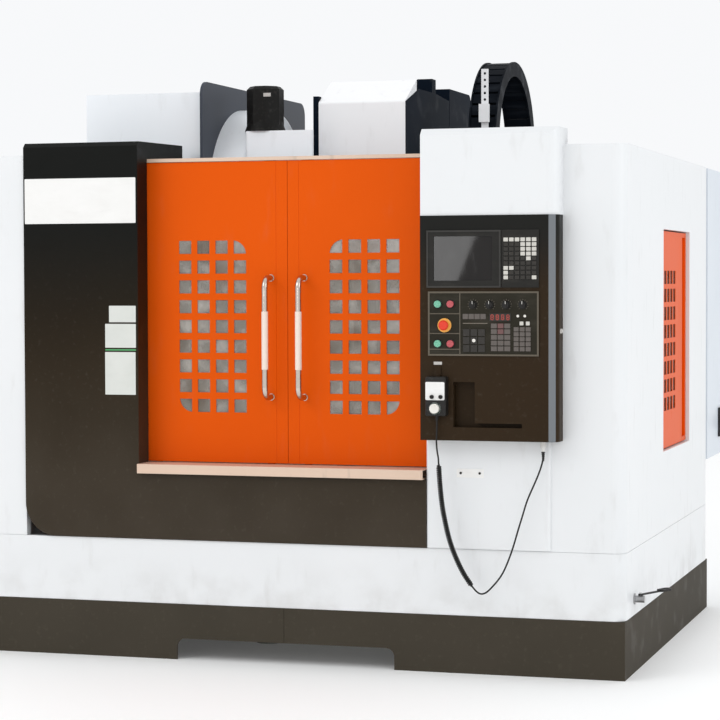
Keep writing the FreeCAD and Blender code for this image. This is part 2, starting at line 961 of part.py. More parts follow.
def build_door(side, name):
    """A leaf with its window pane and its handle."""
    leaf, middle = door_leaf(side)
    add(name + "_door", leaf)
    width = (window_columns - 1) * window_pitch_x + window_hole + 2 * pane_margin
    height = (window_rows - 1) * window_pitch_z + window_hole + 2 * pane_margin
    pane_front = door_front + sheet
    add(name + "_window",
        block(middle - width / 2, middle + width / 2, pane_front, pane_front + pane_thickness,
                                window_middle_z - height / 2, window_middle_z + height / 2))
    add(name + "_handle", bent_handle(door_seam_x + side * handle_offset))


def bent_handle(x):
    """Bright tube handle whose two ends bend back to the door in a round sweep."""
    bar_y = door_front - handle_standoff
    low = handle_middle_z - handle_length / 2
    high = handle_middle_z + handle_length / 2
    lean = math.sqrt(0.5) * handle_bend
    start = V(x, door_front, low)
    bend_a = V(x, bar_y + handle_bend, low)
    mid_a = V(x, bar_y + handle_bend - lean, low + handle_bend - lean)
    bar_a = V(x, bar_y, low + handle_bend)
    bar_b = V(x, bar_y, high - handle_bend)
    mid_b = V(x, bar_y + handle_bend - lean, high - handle_bend + lean)
    bend_b = V(x, bar_y + handle_bend, high)
    end = V(x, door_front, high)
    path = Part.Wire([Part.LineSegment(start, bend_a).toShape(), Part.Arc(bend_a, mid_a, bar_a).toShape(),
                      Part.LineSegment(bar_a, bar_b).toShape(), Part.Arc(bar_b, mid_b, bend_b).toShape(),
                      Part.LineSegment(bend_b, end).toShape()])
    ring = Part.Wire([Part.Circle(start, Y_AXIS, handle_tube_radius).toShape()])
    tube = path.makePipeShell([ring], True, False)
    rose_y = door_front - handle_rose_height
    roses = [rod(handle_rose_radius, V(x, rose_y, z), V(x, door_front, z)) for z in (low, high)]
    return tube.fuse(roses)


# ---------------------------------------------------------------- operator side
def front_box(x0, x1, y0, z0, z1, radius, wall):
    """Open-backed sheet box on the front cover with its right front edge rounded."""
    outer = block(x0, x1, y0, 0, z0, z1)
    outer = rounded(outer, radius, Z_AXIS, lambda point: point.x > x1 - 1 and point.y < y0 + 1)
    inner = block(x0 + wall, x1 - wall, y0 + wall, 1, z0 + wall, z1 - wall)
    inner = rounded(inner, radius - wall, Z_AXIS,
                    lambda point: point.x > x1 - 2 * wall and point.y < y0 + 2 * wall)
    return outer.cut(inner)


def build_cabinet():
    """White cabinet over the console, its cap lying on the roof, and the plate below."""
    x0 = cabinet_left
    x1 = cabinet_right
    face = -cabinet_proud
    lower = front_box(x0, x1, face, cabinet_bottom, cabinet_top, cabinet_corner, sheet)
    cap_top = cabinet_top + cabinet_cap
    outline = [(face, cabinet_top), (face + cabinet_cap, cap_top), (cabinet_cap_depth, cap_top),
               (cabinet_cap_depth, body_height), (0, body_height), (0, cabinet_top)]
    cap = prism_yz(outline, x0, x1)
    corner = rounded(block(x0, x1, face, cabinet_cap_depth + 1, body_height - 1, cap_top + 1),
                     cabinet_corner, Z_AXIS, lambda point: point.x > x1 - 1 and point.y < face + 1)
    cap = cap.common(corner)
    hollow_outline = [(sheet, body_height - 1), (sheet, cap_top - sheet),
                      (cabinet_cap_depth - sheet, cap_top - sheet),
                      (cabinet_cap_depth - sheet, body_height - 1)]
    hollow = prism_yz(hollow_outline, x0 + sheet, x1 - sheet)
    back_hollow = block(x0 + sheet, x1 - sheet, -sheet, sheet + 1, body_height - 1, cabinet_top - sheet)
    add("operator_cabinet", lower.fuse(cap).cut([hollow, back_hollow]), service_panel())


def service_panel():
    """White plate on the cover below the console."""
    x0 = cabinet_left
    top = console_bottom - service_panel_gap
    face = -service_panel_proud
    outer = block(x0 + sheet, x0 + service_panel_width, face, 0, service_panel_bottom, top)
    outer = rounded(outer, service_panel_edge, Z_AXIS, lambda point: point.y < face + 1)
    inner = block(x0 + 2 * sheet, x0 + service_panel_width - sheet, face + sheet, 1,
                  service_panel_bottom + sheet, top - sheet)
    return outer.cut(inner)


def build_console():
    """Black console with cut-outs for its units, a stepped pocket and the pendant's hook."""
    shell = front_box(cabinet_left, cabinet_right, console_face, console_bottom, cabinet_bottom,
                      console_corner, console_wall)
    cut_y = console_face + console_wall + 1
    cuts = [block(screen_left, keypad_right, console_face - 1, cut_y, screen_bottom, screen_top),
            block(panel_left, keypad_right, console_face - 1, cut_y, panel_bottom, panel_top)]
    left = cabinet_left + pocket_inset
    middle = left + pocket_width
    right = left + pocket_slot_width
    low = console_bottom + pocket_rise
    step_z = low + pocket_slot_height
    high = low + pocket_height
    step = [(left, low), (right, low), (right, step_z), (middle, step_z), (middle, high), (left, high)]
    cuts.append(prism_xz(step, console_face - 1, cut_y))
    wide = [(left - sheet, low - sheet), (right + sheet, low - sheet), (right + sheet, step_z + sheet),
            (middle + sheet, step_z + sheet), (middle + sheet, high + sheet), (left - sheet, high + sheet)]
    pocket = prism_xz(wide, console_face + console_wall, console_face + pocket_depth + sheet)
    pocket = pocket.cut(prism_xz(step, console_face, console_face + pocket_depth))
    hook_left = (pendant_left + pendant_right - hook_width) / 2
    hook_right = hook_left + hook_width
    hook_foot = block(hook_left, hook_right, console_face - hook_reach, console_face,
                      pendant_top, pendant_top + hook_thickness)
    hook_back = block(hook_left, hook_right, console_face - hook_thickness, console_face,
                      pendant_top, pendant_top + hook_height)
    add("console_housing", shell.cut(cuts).fuse([pocket, hook_foot, hook_back]), cord_gland())


def unit_plate(x0, x1, z0, z1):
    """A unit's front plate with the body that fills its cut-out."""
    lip = block(x0, x1, unit_front, console_face, z0, z1)
    body = block(x0 + unit_clearance, x1 - unit_clearance, console_face, seat_of_unit,
                 z0 + unit_clearance, z1 - unit_clearance)
    return lip.fuse(body)


def unit_rim(x0, x1, z0, z1):
    """Raised rim round a field of a unit."""
    top = unit_front - panel_rim_height
    outer = block(x0, x1, top, unit_front, z0, z1)
    return outer.cut(block(x0 + panel_rim, x1 - panel_rim, top - 1, unit_front + 1, z0 + panel_rim,
                           z1 - panel_rim))


def key_field(x0, z0, columns, rows, pitch_x, pitch_z, width, height):
    """Raised keys in rows and columns, counted from the lower left one."""
    keys = []
    for column in range(columns):
        for row in range(rows):
            x = x0 + column * pitch_x
            z = z0 + row * pitch_z
            keys.append(block(x, x + width, unit_front - key_height, unit_front, z, z + height))
    return keys


def build_screen():
    """Screen and keypad in one unit, parted by a groove, with the screen's glass."""
    frame = unit_plate(screen_left, keypad_right, screen_bottom, screen_top)
    glass_left = screen_left + glass_inset
    glass_right = screen_right - glass_inset_right
    glass_bottom = screen_bottom + glass_inset
    glass_top = screen_top - glass_inset_top
    glass_rear = unit_front + glass_recess + glass_thickness
    sight = block(glass_left, glass_right, unit_front - 1, glass_rear, glass_bottom, glass_top)
    groove = block(screen_right, screen_right + keypad_gap, unit_front - 1, console_face, screen_bottom,
                   screen_top)
    rim = unit_rim(screen_left, screen_right, screen_bottom, screen_top)
    keys = key_field(screen_right + keypad_inset, screen_bottom + keypad_rise, keypad_columns, keypad_rows,
                     keypad_pitch_x, keypad_pitch_z, keypad_key_width, keypad_key_height)
    add("screen_unit", frame.cut([sight, groove]).fuse([rim] + keys))
    add("screen_glass", block(glass_left, glass_right, unit_front + glass_recess, glass_rear,
                              glass_bottom, glass_top))


def button_places():
    """Names and places of the four push buttons."""
    return (("power_on_button", button_left_x, button_upper_z),
            ("power_off_button", button_right_x, button_upper_z),
            ("cycle_start_button", button_left_x, button_lower_z),
            ("feed_hold_button", button_right_x, button_lower_z))


def knob_places():
    """Places along X of the selector knobs."""
    return [panel_divider_x + knob_inset + index * knob_pitch for index in range(knob_count)]


def panel_keys():
    """Key fields of the machine panel, left to right, with its display and two lamps."""
    x = panel_divider_x
    z = panel_bottom
    keys = key_field(x + jog_inset, z + jog_rise, 3, 3, jog_pitch_x, jog_pitch_z, jog_key_width,
                     jog_key_height)
    keys += key_field(x + mode_inset, z + mode_rise, 3, 5, mode_pitch_x, mode_pitch_z,
                      mode_key_width, mode_key_height)
    keys += key_field(x + function_inset, z + mode_rise, 3, 5, function_pitch_x, function_pitch_z,
                      function_key_width, function_key_height)
    keys += key_field(x + strip_inset, z + strip_rise, 4, 1, strip_pitch, strip_pitch,
                      strip_key_width, strip_key_height)
    keys += key_field(x + pair_inset, z + pair_rise, 2, 1, pair_pitch, pair_pitch, pair_key, pair_key)
    keys += key_field(x + display_inset, z + display_rise, 1, 1, 0, 0, display_width, display_height)
    for index in range(2):
        lamp_x = x + lamp_inset + index * lamp_pitch
        keys.append(rod(lamp_radius, V(lamp_x, unit_front - key_height, z + lamp_rise),
                        V(lamp_x, unit_front, z + lamp_rise)))
    return keys


def build_panel():
    """Machine panel: rim, dividers, key fields and the bores that its buttons run in."""
    plate = unit_plate(panel_left, keypad_right, panel_bottom, panel_top)
    rim = unit_rim(panel_left, keypad_right, panel_bottom, panel_top)
    rim_y = unit_front - panel_rim_height
    half = divider_thickness / 2
    upright = block(panel_divider_x - half, panel_divider_x + half, rim_y, unit_front, panel_bottom,
                    panel_top)
    middles = ((button_upper_z + stop_z) / 2 + divider_lift, (button_lower_z + stop_z) / 2 + divider_lift,
               panel_bottom + divider_low)
    bars = [block(panel_left, panel_divider_x, rim_y, unit_front, z - half, z + half) for z in middles]
    collar = rod(stop_collar_radius, V(stop_x, unit_front - stop_collar_height, stop_z),
                 V(stop_x, unit_front, stop_z))
    panel = plate.fuse([rim, upright, collar] + bars + panel_keys())
    spindles = [rod(knob_spindle_radius, V(x, unit_front - knob_spindle_length, knob_z),
                    V(x, unit_front, knob_z))
                for x in knob_places()]
    bore_y = unit_front - stop_collar_height - 1
    bore_radius = button_stem_radius + running_clearance
    places = [(x, z) for name, x, z in button_places()] + [(stop_x, stop_z)]
    bores = [rod(bore_radius, V(x, bore_y, z), V(x, seat_of_unit + 1, z)) for x, z in places]
    add("control_panel", panel.cut(bores).fuse(spindles))


def build_buttons():
    """Four push buttons, the stop button and the selector knobs."""
    for name, x, z in button_places():
        back = unit_front - button_travel - button_gap
        front = back - button_height
        cap = rod(button_radius, V(x, front, z), V(x, back, z))
        rim = [edge for edge in cap.Edges
               if edge.CenterOfMass.y < front + 1 and abs(edge.Length - 2 * math.pi * button_radius) < 1]
        stem = rod(button_stem_radius, V(x, back, z), V(x, back + button_stem_length, z))
        add(name, cap.makeFillet(button_edge, rim).fuse(stem))

    back = unit_front - stop_collar_height - stop_travel - button_gap
    profile = [V(0, back, 0), V(stop_head_radius * 0.72, back, 0),
               V(stop_head_radius, back - stop_head_height * 0.45, 0),
               V(stop_head_radius, back - stop_head_height * 0.7, 0),
               V(stop_head_radius * 0.82, back - stop_head_height, 0), V(0, back - stop_head_height, 0)]
    head = Part.Face(Part.makePolygon(profile + [profile[0]])).revolve(V(0, 0, 0), Y_AXIS, 360)
    head.translate(V(stop_x, 0, stop_z))
    stem = rod(button_stem_radius, V(stop_x, back, stop_z),
               V(stop_x, back + stop_collar_height + button_stem_length, stop_z))
    add("emergency_stop", head.fuse(stem))

    seat = unit_front - seat_clearance
    half = knob_fin_width / 2
    grip_radius = knob_radius * 0.75
    for number, x in enumerate(knob_places(), 1):
        skirt = rod(knob_radius, V(x, seat - knob_height * 0.35, knob_z), V(x, seat, knob_z))
        body = rod(grip_radius, V(x, seat - knob_height, knob_z), V(x, seat, knob_z))
        fin = block(x - half, x + half, seat - knob_height - knob_fin_height, seat - knob_fin_height,
                    knob_z - grip_radius, knob_z + knob_radius)
        bore = rod(knob_spindle_radius + running_clearance, V(x, seat - knob_spindle_length, knob_z),
                   V(x, seat + 1, knob_z))
        add("selector_knob_" + str(number), skirt.fuse([body, fin]).cut(bore))


# ---------------------------------------------------------------- pendant and cord
def pendant_selector(x, z, front):
    """One small selector on its spindle: the cap with a fin, and the spindle under it."""
    seat = front - seat_clearance
    top = seat - selector_height
    foot = top + selector_fin_height
    half = selector_fin_width / 2
    cap = rod(selector_radius, V(x, top, z), V(x, seat, z))
    fin = block(x - half, x + half, top - selector_fin_height, top, z - selector_radius, z + selector_radius)
    fin = fin.common(rod(selector_radius, V(x, top - selector_fin_height, z), V(x, seat, z)))
    bore = rod(selector_spindle + running_clearance, V(x, foot, z), V(x, seat + 1, z))
    return cap.fuse(fin).cut(bore), rod(selector_spindle, V(x, foot + seat_clearance, z), V(x, front, z))


def build_pendant():
    """Handheld pulse generator hanging from its hook, its two selectors and its dial."""
    front = console_face - pendant_depth
    body = block(pendant_left, pendant_right, front, console_face, pendant_bottom, pendant_top)
    body = rounded(body, pendant_edge, Z_AXIS, lambda point: point.y < front + 1)
    body = rounded(body, pendant_edge, Y_AXIS, lambda point: point.y > front - 1)
    relief = Part.makeCone(relief_radius, cord_diameter / 2 + cord_sleeve, relief_length,
                           V(pendant_left + cord_exit, console_face - pendant_depth / 2, pendant_bottom),
                           -Z_AXIS)
    dial_x = pendant_left + dial_inset
    dial_z = pendant_bottom + dial_rise
    spindles = []
    for number, x in enumerate((dial_x - selector_inset, dial_x + selector_spread), 1):
        knob, spindle = pendant_selector(x, pendant_bottom + selector_rise, front)
        spindles.append(spindle)
        add("pendant_knob_" + str(number), knob)
    pivot_y = front - dial_height / 2
    pivot = rod(dial_pivot_radius, V(dial_x, pivot_y, dial_z), V(dial_x, front, dial_z))
    add("pendant_body", body.fuse([relief, pivot] + spindles))

    dial_back = front - dial_seat
    dial_front = dial_back - dial_height
    dial = rod(dial_radius, V(dial_x, dial_front, dial_z), V(dial_x, dial_back, dial_z))
    bore = rod(dial_pivot_radius + running_clearance, V(dial_x, pivot_y - seat_clearance, dial_z),
               V(dial_x, front + 1, dial_z))
    spinner_z = dial_z + spinner_offset
    spinner = rod(spinner_radius, V(dial_x, dial_front - spinner_height, spinner_z),
                  V(dial_x, dial_front, spinner_z))
    add("pendant_dial", dial.cut(bore).fuse(spinner))


def cord_gland():
    """Metal gland under the console that the cord goes up into."""
    shell = rod(gland_radius, V(gland_x, gland_y, console_bottom - gland_length),
                V(gland_x, gland_y, console_bottom))
    nut_low = console_bottom - gland_length - gland_nut_length
    nut = Part.makeCone(cord_diameter / 2 + cord_sleeve, gland_nut_radius, gland_nut_length,
                        V(gland_x, gland_y, nut_low))
    return shell.fuse(nut)


def tangent_path(points, label):
    """Straight runs joined by arcs as large as their runs allow."""
    edges = []
    last = points[0]
    radii = []
    for before, corner, after in zip(points, points[1:], points[2:]):
        run_in = (before - corner).Length
        run_out = (after - corner).Length
        way_in = (before - corner).normalize()
        way_out = (after - corner).normalize()
        half_turn = (math.pi - way_in.getAngle(way_out)) / 2
        reach = 0.45 * min(run_in, run_out)
        radii.append(reach / math.tan(half_turn))
        start = corner + way_in * reach
        end = corner + way_out * reach
        inward = (way_in + way_out).normalize()
        middle = corner + inward * (radii[-1] / math.cos(half_turn) - radii[-1])
        edges.append(Part.LineSegment(last, start).toShape())
        edges.append(Part.Arc(start, middle, end).toShape())
        last = end
    edges.append(Part.LineSegment(last, points[-1]).toShape())
    print(label, "bend radii", [round(radius, 1) for radius in radii])
    return Part.Wire(edges)


def tube_along(path, diameter, start, direction, label):
    """Round tube along a path, with its length and volume printed."""
    ring = Part.Wire([Part.Circle(start, direction, diameter / 2).toShape()])
    tube = path.makePipeShell([ring], True, False)
    expected = math.pi * diameter ** 2 / 4 * path.Length
    print(label, "length", round(path.Length, 1), "volume share", round(tube.Volume / expected, 4))
    return tube


def arc_from(start, tangent, end):
    """Arc that leaves a point along a tangent and reaches another point."""
    chord = end - start
    along = V(chord).normalize()
    aside = tangent - along * tangent.dot(along)
    if aside.Length < 1e-7:
        return Part.LineSegment(start, end).toShape()
    half = tangent.getAngle(along)
    middle = (start + end) * 0.5 + aside.normalize() * (chord.Length / 2 * math.tan(half / 2))
    return Part.Arc(start, middle, end).toShape()


def biarc(start, out, end, arrive):
    """Two tangent arcs between two points with given directions."""
    span = end - start
    both = out + arrive
    turn = 1 - out.dot(arrive)
    if turn < 1e-9:
        return [Part.LineSegment(start, end).toShape()]
    reach = (-span.dot(both) + math.sqrt(span.dot(both) ** 2 + 2 * turn * span.dot(span))) / (2 * turn)
    joint = (start + end + (out - arrive) * reach) * 0.5
    way = (end - arrive * reach - start - out * reach).normalize()
    return [arc_from(start, out, joint), arc_from(joint, way, end)]


def curl_lead(line):
    """Share of the curly stretch that stays straight at each end."""
    return cord_diameter / line.length()


def curl_ways(line):
    """Directions in which the straight ends of the curly stretch leave and arrive."""
    first = line.FirstParameter
    last = line.LastParameter
    lead = curl_lead(line) * (last - first)
    out = line.value(first + lead) - line.value(first)
    arrive = line.value(last) - line.value(last - lead)
    return out.normalize(), arrive.normalize()


def curl_tube(line):
    """Curly stretch as one tube wound round a hanging centre line."""
    coil_radius = (curl_diameter - cord_diameter) / 2
    steps = 2 * curl_turns
    first = line.FirstParameter
    span = line.LastParameter - first

    def place(share):
        at = first + span * share
        along = V(line.tangent(at)[0]).normalize()
        side = V(Y_AXIS - along * Y_AXIS.dot(along)).normalize()
        return line.value(at), along, side, along.cross(side)

    def point(step):
        lead = curl_lead(line)
        share = lead + (1 - 2 * lead) * step / steps
        centre, along, side, up = place(share)
        ramp = min(1.0, step / 2.0, (steps - step) / 2.0)
        angle = math.pi * step
        return centre + (side * math.cos(angle) + up * math.sin(angle)) * coil_radius * ramp

    places = [point(step) for step in range(steps + 1)]
    tangents = [(point(step + 0.01) - point(step - 0.01)).normalize() for step in range(steps + 1)]
    head = line.value(first)
    tail = line.value(line.LastParameter)
    out, arrive = curl_ways(line)
    tangents[0] = out
    tangents[-1] = arrive
    edges = [Part.LineSegment(head, places[0]).toShape()]
    for step in range(steps):
        edges += biarc(places[step], tangents[step], places[step + 1], tangents[step + 1])
    edges.append(Part.LineSegment(places[-1], tail).toShape())
    path = Part.Wire(edges)
    tube = tube_along(path, cord_diameter, head, out, "cord_curl")

    samples = path.discretize(Number=steps * 24)
    per_turn = len(samples) // curl_turns
    least = min((samples[i] - samples[j]).Length for i in range(0, len(samples), 3)
                for j in range(i + per_turn // 2, min(i + 2 * per_turn, len(samples)), 2))
    print("cord_curl least gap to itself", round(least - cord_diameter, 2))
    return tube


def cord_points(course):
    """Points of a stretch of the cord, hung from the console's lower left corner."""
    return [V(cabinet_left + x, console_face + y, console_bottom + z) for x, y, z in course]


def build_cord():
    """Cord of the pendant: a plain lead, the curls, and a plain lead up to the gland."""
    start = V(pendant_left + cord_exit, console_face - pendant_depth / 2, pendant_bottom - relief_length)
    gland_end = V(gland_x, gland_y, console_bottom - gland_length - gland_nut_length)
    curl = cord_points(curl_course)
    line = Part.BSplineCurve()
    line.interpolate(curl)
    head_way, tail_way = curl_ways(line)
    upper = [start] + cord_points(lead_course) + [curl[0] - head_way * lead_end, curl[0]]
    lower = [curl[-1], curl[-1] + tail_way * rise_start] + cord_points(rise_course)
    lower += [gland_end - Z_AXIS * gland_lead, gland_end]
    upper_path = tangent_path(upper, "cord_upper")
    add("cord_upper", tube_along(upper_path, cord_diameter, start, upper[1] - upper[0], "cord_upper"))
    add("cord_curl", curl_tube(line))
    lower_path = tangent_path(lower, "cord_lower")
    add("cord_lower", tube_along(lower_path, cord_diameter, lower[0], lower[1] - lower[0], "cord_lower"))


# ---------------------------------------------------------------- side door and valve
def build_side_door():
    """Recessed perforated door on the right side, hinged at its front edge."""
    outer = half_width - side_recess
    inner = outer - side_door_thickness
    y0 = side_opening_front + side_clearance
    y1 = side_opening_rear - side_clearance
    z0 = side_opening_bottom + side_clearance
    z1 = side_opening_top - side_clearance
    tray = block(inner, outer, y0, y1, z0, z1)
    hollow = block(inner - 1, outer - sheet, y0 + sheet, y1 - sheet, z0 + sheet, z1 - sheet)
    tray = tray.cut(hollow)
    grip_y = side_opening_rear - side_grip_inset
    grip_low = z0 + side_grip_end
    grip_high = z1 - side_grip_end
    grip = block(outer - side_grip_depth, outer + 1, grip_y, grip_y + side_grip_width, grip_low, grip_high)
    grip_shell = block(outer - side_grip_depth - sheet, outer - sheet, grip_y - sheet,
                       grip_y + side_grip_width + sheet, grip_low - sheet, grip_high + sheet)
    tray = tray.fuse(grip_shell).cut(grip)
    window_front = side_opening_front + side_window_inset
    low = side_window_middle_z - ((side_rows - 1) * side_pitch + side_hole) / 2
    holes = []
    for column in range(side_columns):
        for row in range(side_rows):
            y = window_front + column * side_pitch
            z = low + row * side_pitch
            holes.append(block(outer - sheet - 1, outer + 1, y, y + side_hole, z, z + side_hole))
    tray = tray.cut(holes)
    x, y = pivot_axis()
    for end in (z0, z1 - pivot_boss):
        boss = block(inner, outer, y0, y0 + 2 * pivot_inset, end, end + pivot_boss)
        pin = rod(pivot_radius + running_clearance, V(x, y, end - 1), V(x, y, end + pivot_boss + 1))
        tray = tray.fuse(boss).cut(pin)
    width = (side_columns - 1) * side_pitch + side_hole + pane_margin
    height = (side_rows - 1) * side_pitch + side_hole + 2 * pane_margin
    pane_y = window_front - pane_margin / 2
    pane = block(outer - sheet - pane_thickness, outer - sheet, pane_y, pane_y + width,
                 side_window_middle_z - height / 2, side_window_middle_z + height / 2)
    add("side_door", tray)
    add("side_window", pane)


def build_valve():
    """Small drain valve on the lower cover with a black lever that ends in an eye."""
    centre_x = half_width + valve_stem_reach
    foot = V(half_width, valve_y, valve_z)
    body = rod(valve_body_radius, foot, foot + X_AXIS * valve_body_length)
    rose = rod(valve_rose_radius, foot, foot + X_AXIS * valve_rose_height)
    low = valve_z + valve_body_radius + lever_gap
    stem_top = low + lever_thickness + valve_stem_head
    stem = rod(valve_stem_radius, V(centre_x, valve_y, valve_z), V(centre_x, valve_y, stem_top))
    add("valve_body", body.fuse([rose, stem]))

    hub = rod(lever_width / 2, V(0, 0, 0), V(0, 0, lever_thickness))
    eye_middle = lever_length - lever_eye_length / 2
    shank = block(0, eye_middle, -lever_shank_width / 2, lever_shank_width / 2, 0, lever_thickness)
    eye_half = (lever_eye_length - lever_eye_width) / 2
    eye = block(eye_middle - eye_half, eye_middle + eye_half, -lever_eye_width / 2, lever_eye_width / 2,
                0, lever_eye_thickness)
    hole = block(eye_middle - eye_half, eye_middle + eye_half, -lever_eye_hole / 2, lever_eye_hole / 2,
                 -1, lever_eye_thickness + 1)
    for x in (eye_middle - eye_half, eye_middle + eye_half):
        eye = eye.fuse(rod(lever_eye_width / 2, V(x, 0, 0), V(x, 0, lever_eye_thickness)))
        hole = hole.fuse(rod(lever_eye_hole / 2, V(x, 0, -1), V(x, 0, lever_eye_thickness + 1)))
    bore = rod(valve_stem_radius + running_clearance, V(0, 0, -1), V(0, 0, lever_thickness + 1))
    lever = hub.fuse([shank, eye]).cut([hole, bore])
    lever.rotate(V(0, 0, 0), Z_AXIS, lever_angle)
    lever.translate(V(centre_x, valve_y, low))
    add("valve_lever", lever)


# ---------------------------------------------------------------- electrical cabinet
def cabinet_hinge_axis():
    """Upright axis of the cabinet door at its right rear corner."""
    return half_width - ecabinet_hinge_radius, ecabinet_rear + 2 * ecabinet_hinge_radius


def cabinet_hinge_heights():
    """Heights where the lower and the upper knuckle of the door begin."""
    return ecabinet_bottom + ecabinet_hinge_inset, body_height - ecabinet_hinge_inset - ecabinet_hinge_height


def build_electrical_cabinet():
    """Sheet cabinet on the rear cover with a hinged door and an isolator on its side."""
    left = ecabinet_left + sheet
    right = half_width - sheet
    outer = block(ecabinet_left, half_width, base_depth, ecabinet_rear, ecabinet_bottom, body_height)
    inner = block(left, right, base_depth + sheet, ecabinet_rear + 1, ecabinet_bottom + sheet,
                  body_height - sheet)
    plate_back = base_depth + mounting_plate_gap
    plate_face = plate_back + sheet
    mounting = block(left, right, plate_back, plate_face, ecabinet_bottom + mounting_plate_margin,
                     body_height - mounting_plate_margin)
    drive_top = body_height - drive_drop
    drives = []
    for index in range(drive_count):
        x = ecabinet_left + drive_inset + index * drive_pitch
        drives.append(block(x, x + drive_width, plate_face, plate_back + drive_depth,
                            drive_top - drive_height, drive_top))
    gear_low = ecabinet_bottom + switchgear_rise
    switchgear = block(ecabinet_left + drive_inset, half_width - drive_inset, plate_face,
                       plate_back + switchgear_depth, gear_low, gear_low + switchgear_height)
    face = half_width + isolator_plate_thickness
    plate = block(half_width, face, isolator_y - isolator_plate_width / 2,
                  isolator_y + isolator_plate_width / 2,
                  isolator_z - isolator_plate_height / 2, isolator_z + isolator_plate_height / 2)
    hub = V(face, isolator_y, isolator_z)
    spigot = rod(isolator_spigot_radius, hub, hub + X_AXIS * isolator_spigot_length)
    hinges = []
    x, y = cabinet_hinge_axis()
    for z in cabinet_hinge_heights():
        high = z - ecabinet_door_gap
        low = high - ecabinet_hinge_height
        hinges.append(block(x - ecabinet_hinge_leaf + ecabinet_door_margin, x + ecabinet_hinge_radius,
                            ecabinet_rear, y, low, high))
        hinges.append(rod(ecabinet_hinge_radius, V(x, y, low), V(x, y, high)))
        hinges.append(rod(ecabinet_hinge_radius / 2, V(x, y, low), V(x, y, z + ecabinet_hinge_height)))
    pieces = [mounting, switchgear, plate, spigot] + drives + hinges
    add("electrical_cabinet", outer.cut(inner).fuse(pieces))
    build_cabinet_door()
    build_isolator(hub + X_AXIS * seat_clearance)


def build_cabinet_door():
    """Hinged sheet door on the rear of the electrical cabinet, with a bow grip."""
    x, y = cabinet_hinge_axis()
    z0 = ecabinet_bottom + ecabinet_door_margin
    z1 = body_height - ecabinet_door_margin
    y0 = ecabinet_rear + ecabinet_door_gap
    y1 = y0 + ecabinet_door_thickness
    x0 = ecabinet_left + ecabinet_door_edge
    x1 = x - ecabinet_hinge_leaf
    hollow = block(x0 + sheet, x1 - sheet, y0 - 1, y1 - sheet, z0 + sheet, z1 - sheet)
    door = block(x0, x1, y0, y1, z0, z1).cut(hollow)
    for z in cabinet_hinge_heights():
        top = z + ecabinet_hinge_height
        arm = block(x1 - sheet, x, y, y1, z, top)
        knuckle = rod(ecabinet_hinge_radius, V(x, y, z), V(x, y, top))
        bore = rod(ecabinet_hinge_radius / 2 + running_clearance, V(x, y, z - 1), V(x, y, top + 1))
        door = door.fuse([arm, knuckle]).cut(bore)
    grip_x = x0 + ecabinet_grip_inset
    grip_half = ecabinet_grip_width / 2
    low = (z0 + z1 - ecabinet_grip_height) / 2
    high = low + ecabinet_grip_height
    grip = block(grip_x - grip_half, grip_x + grip_half, y1, y1 + ecabinet_grip_depth, low, high)
    grip = grip.cut(block(grip_x - grip_half - 1, grip_x + grip_half + 1, y1,
                          y1 + ecabinet_grip_depth - ecabinet_grip_bar,
                          low + ecabinet_grip_foot, high - ecabinet_grip_foot))
    add("cabinet_door", door.fuse(grip))


def build_isolator(seat):
    """Turning handle of the main isolator, seated on its plate."""
    disc = rod(isolator_radius, seat, seat + X_AXIS * isolator_disc_height)
    half = isolator_bar_width / 2
    bar = block(seat.x, seat.x + isolator_height, isolator_y - half, isolator_y + half,
                isolator_z - isolator_radius, isolator_z + isolator_radius)
    bore = rod(isolator_spigot_radius + running_clearance, seat - X_AXIS,
               seat + X_AXIS * isolator_spigot_length)
    add("isolator_handle", disc.fuse(bar).cut(bore))


# ---------------------------------------------------------------- machine inside
def guide_pair(middle, offset, length, axis, seat):
    """Two guide rails on a seat; axis is the travel direction."""
    rails = []
    half = rail_section / 2
    for side in (-1, 1):
        if axis == "y":
            x = middle.x + side * offset
            rails.append(block(x - half, x + half, middle.y - length / 2, middle.y + length / 2,
                               seat, seat + rail_stand))
        elif axis == "x":
            y = middle.y + side * offset
            rails.append(block(middle.x - length / 2, middle.x + length / 2, y - half, y + half,
                               seat, seat + rail_stand))
        else:
            x = middle.x + side * offset
            rails.append(block(x - half, x + half, seat - rail_stand, seat,
                               middle.z - length / 2, middle.z + length / 2))
    return rails


def carriages(middle, offset, spacing, axis, seat):
    """Four guide blocks that straddle a pair of rails."""
    blocks = []
    half = block_width / 2
    slot = rail_section / 2 + block_clearance
    reach = block_length / 2
    for side in (-1, 1):
        for end in (-1, 1):
            if axis == "y":
                x = middle.x + side * offset
                y = middle.y + end * spacing
                body = block(x - half, x + half, y - reach, y + reach, seat - block_skirt, seat + block_cover)
                groove = block(x - slot, x + slot, y - reach - 1, y + reach + 1, seat - rail_stand,
                               seat + block_clearance)
            elif axis == "x":
                x = middle.x + end * spacing
                y = middle.y + side * offset
                body = block(x - reach, x + reach, y - half, y + half, seat - block_skirt, seat + block_cover)
                groove = block(x - reach - 1, x + reach + 1, y - slot, y + slot, seat - rail_stand,
                               seat + block_clearance)
            else:
                x = middle.x + side * offset
                z = middle.z + end * spacing
                body = block(x - half, x + half, seat - block_cover, seat + block_skirt, z - reach, z + reach)
                groove = block(x - slot, x + slot, seat - block_clearance, seat + rail_stand,
                               z - reach - 1, z + reach + 1)
            blocks.append(body.cut(groove))
    return blocks


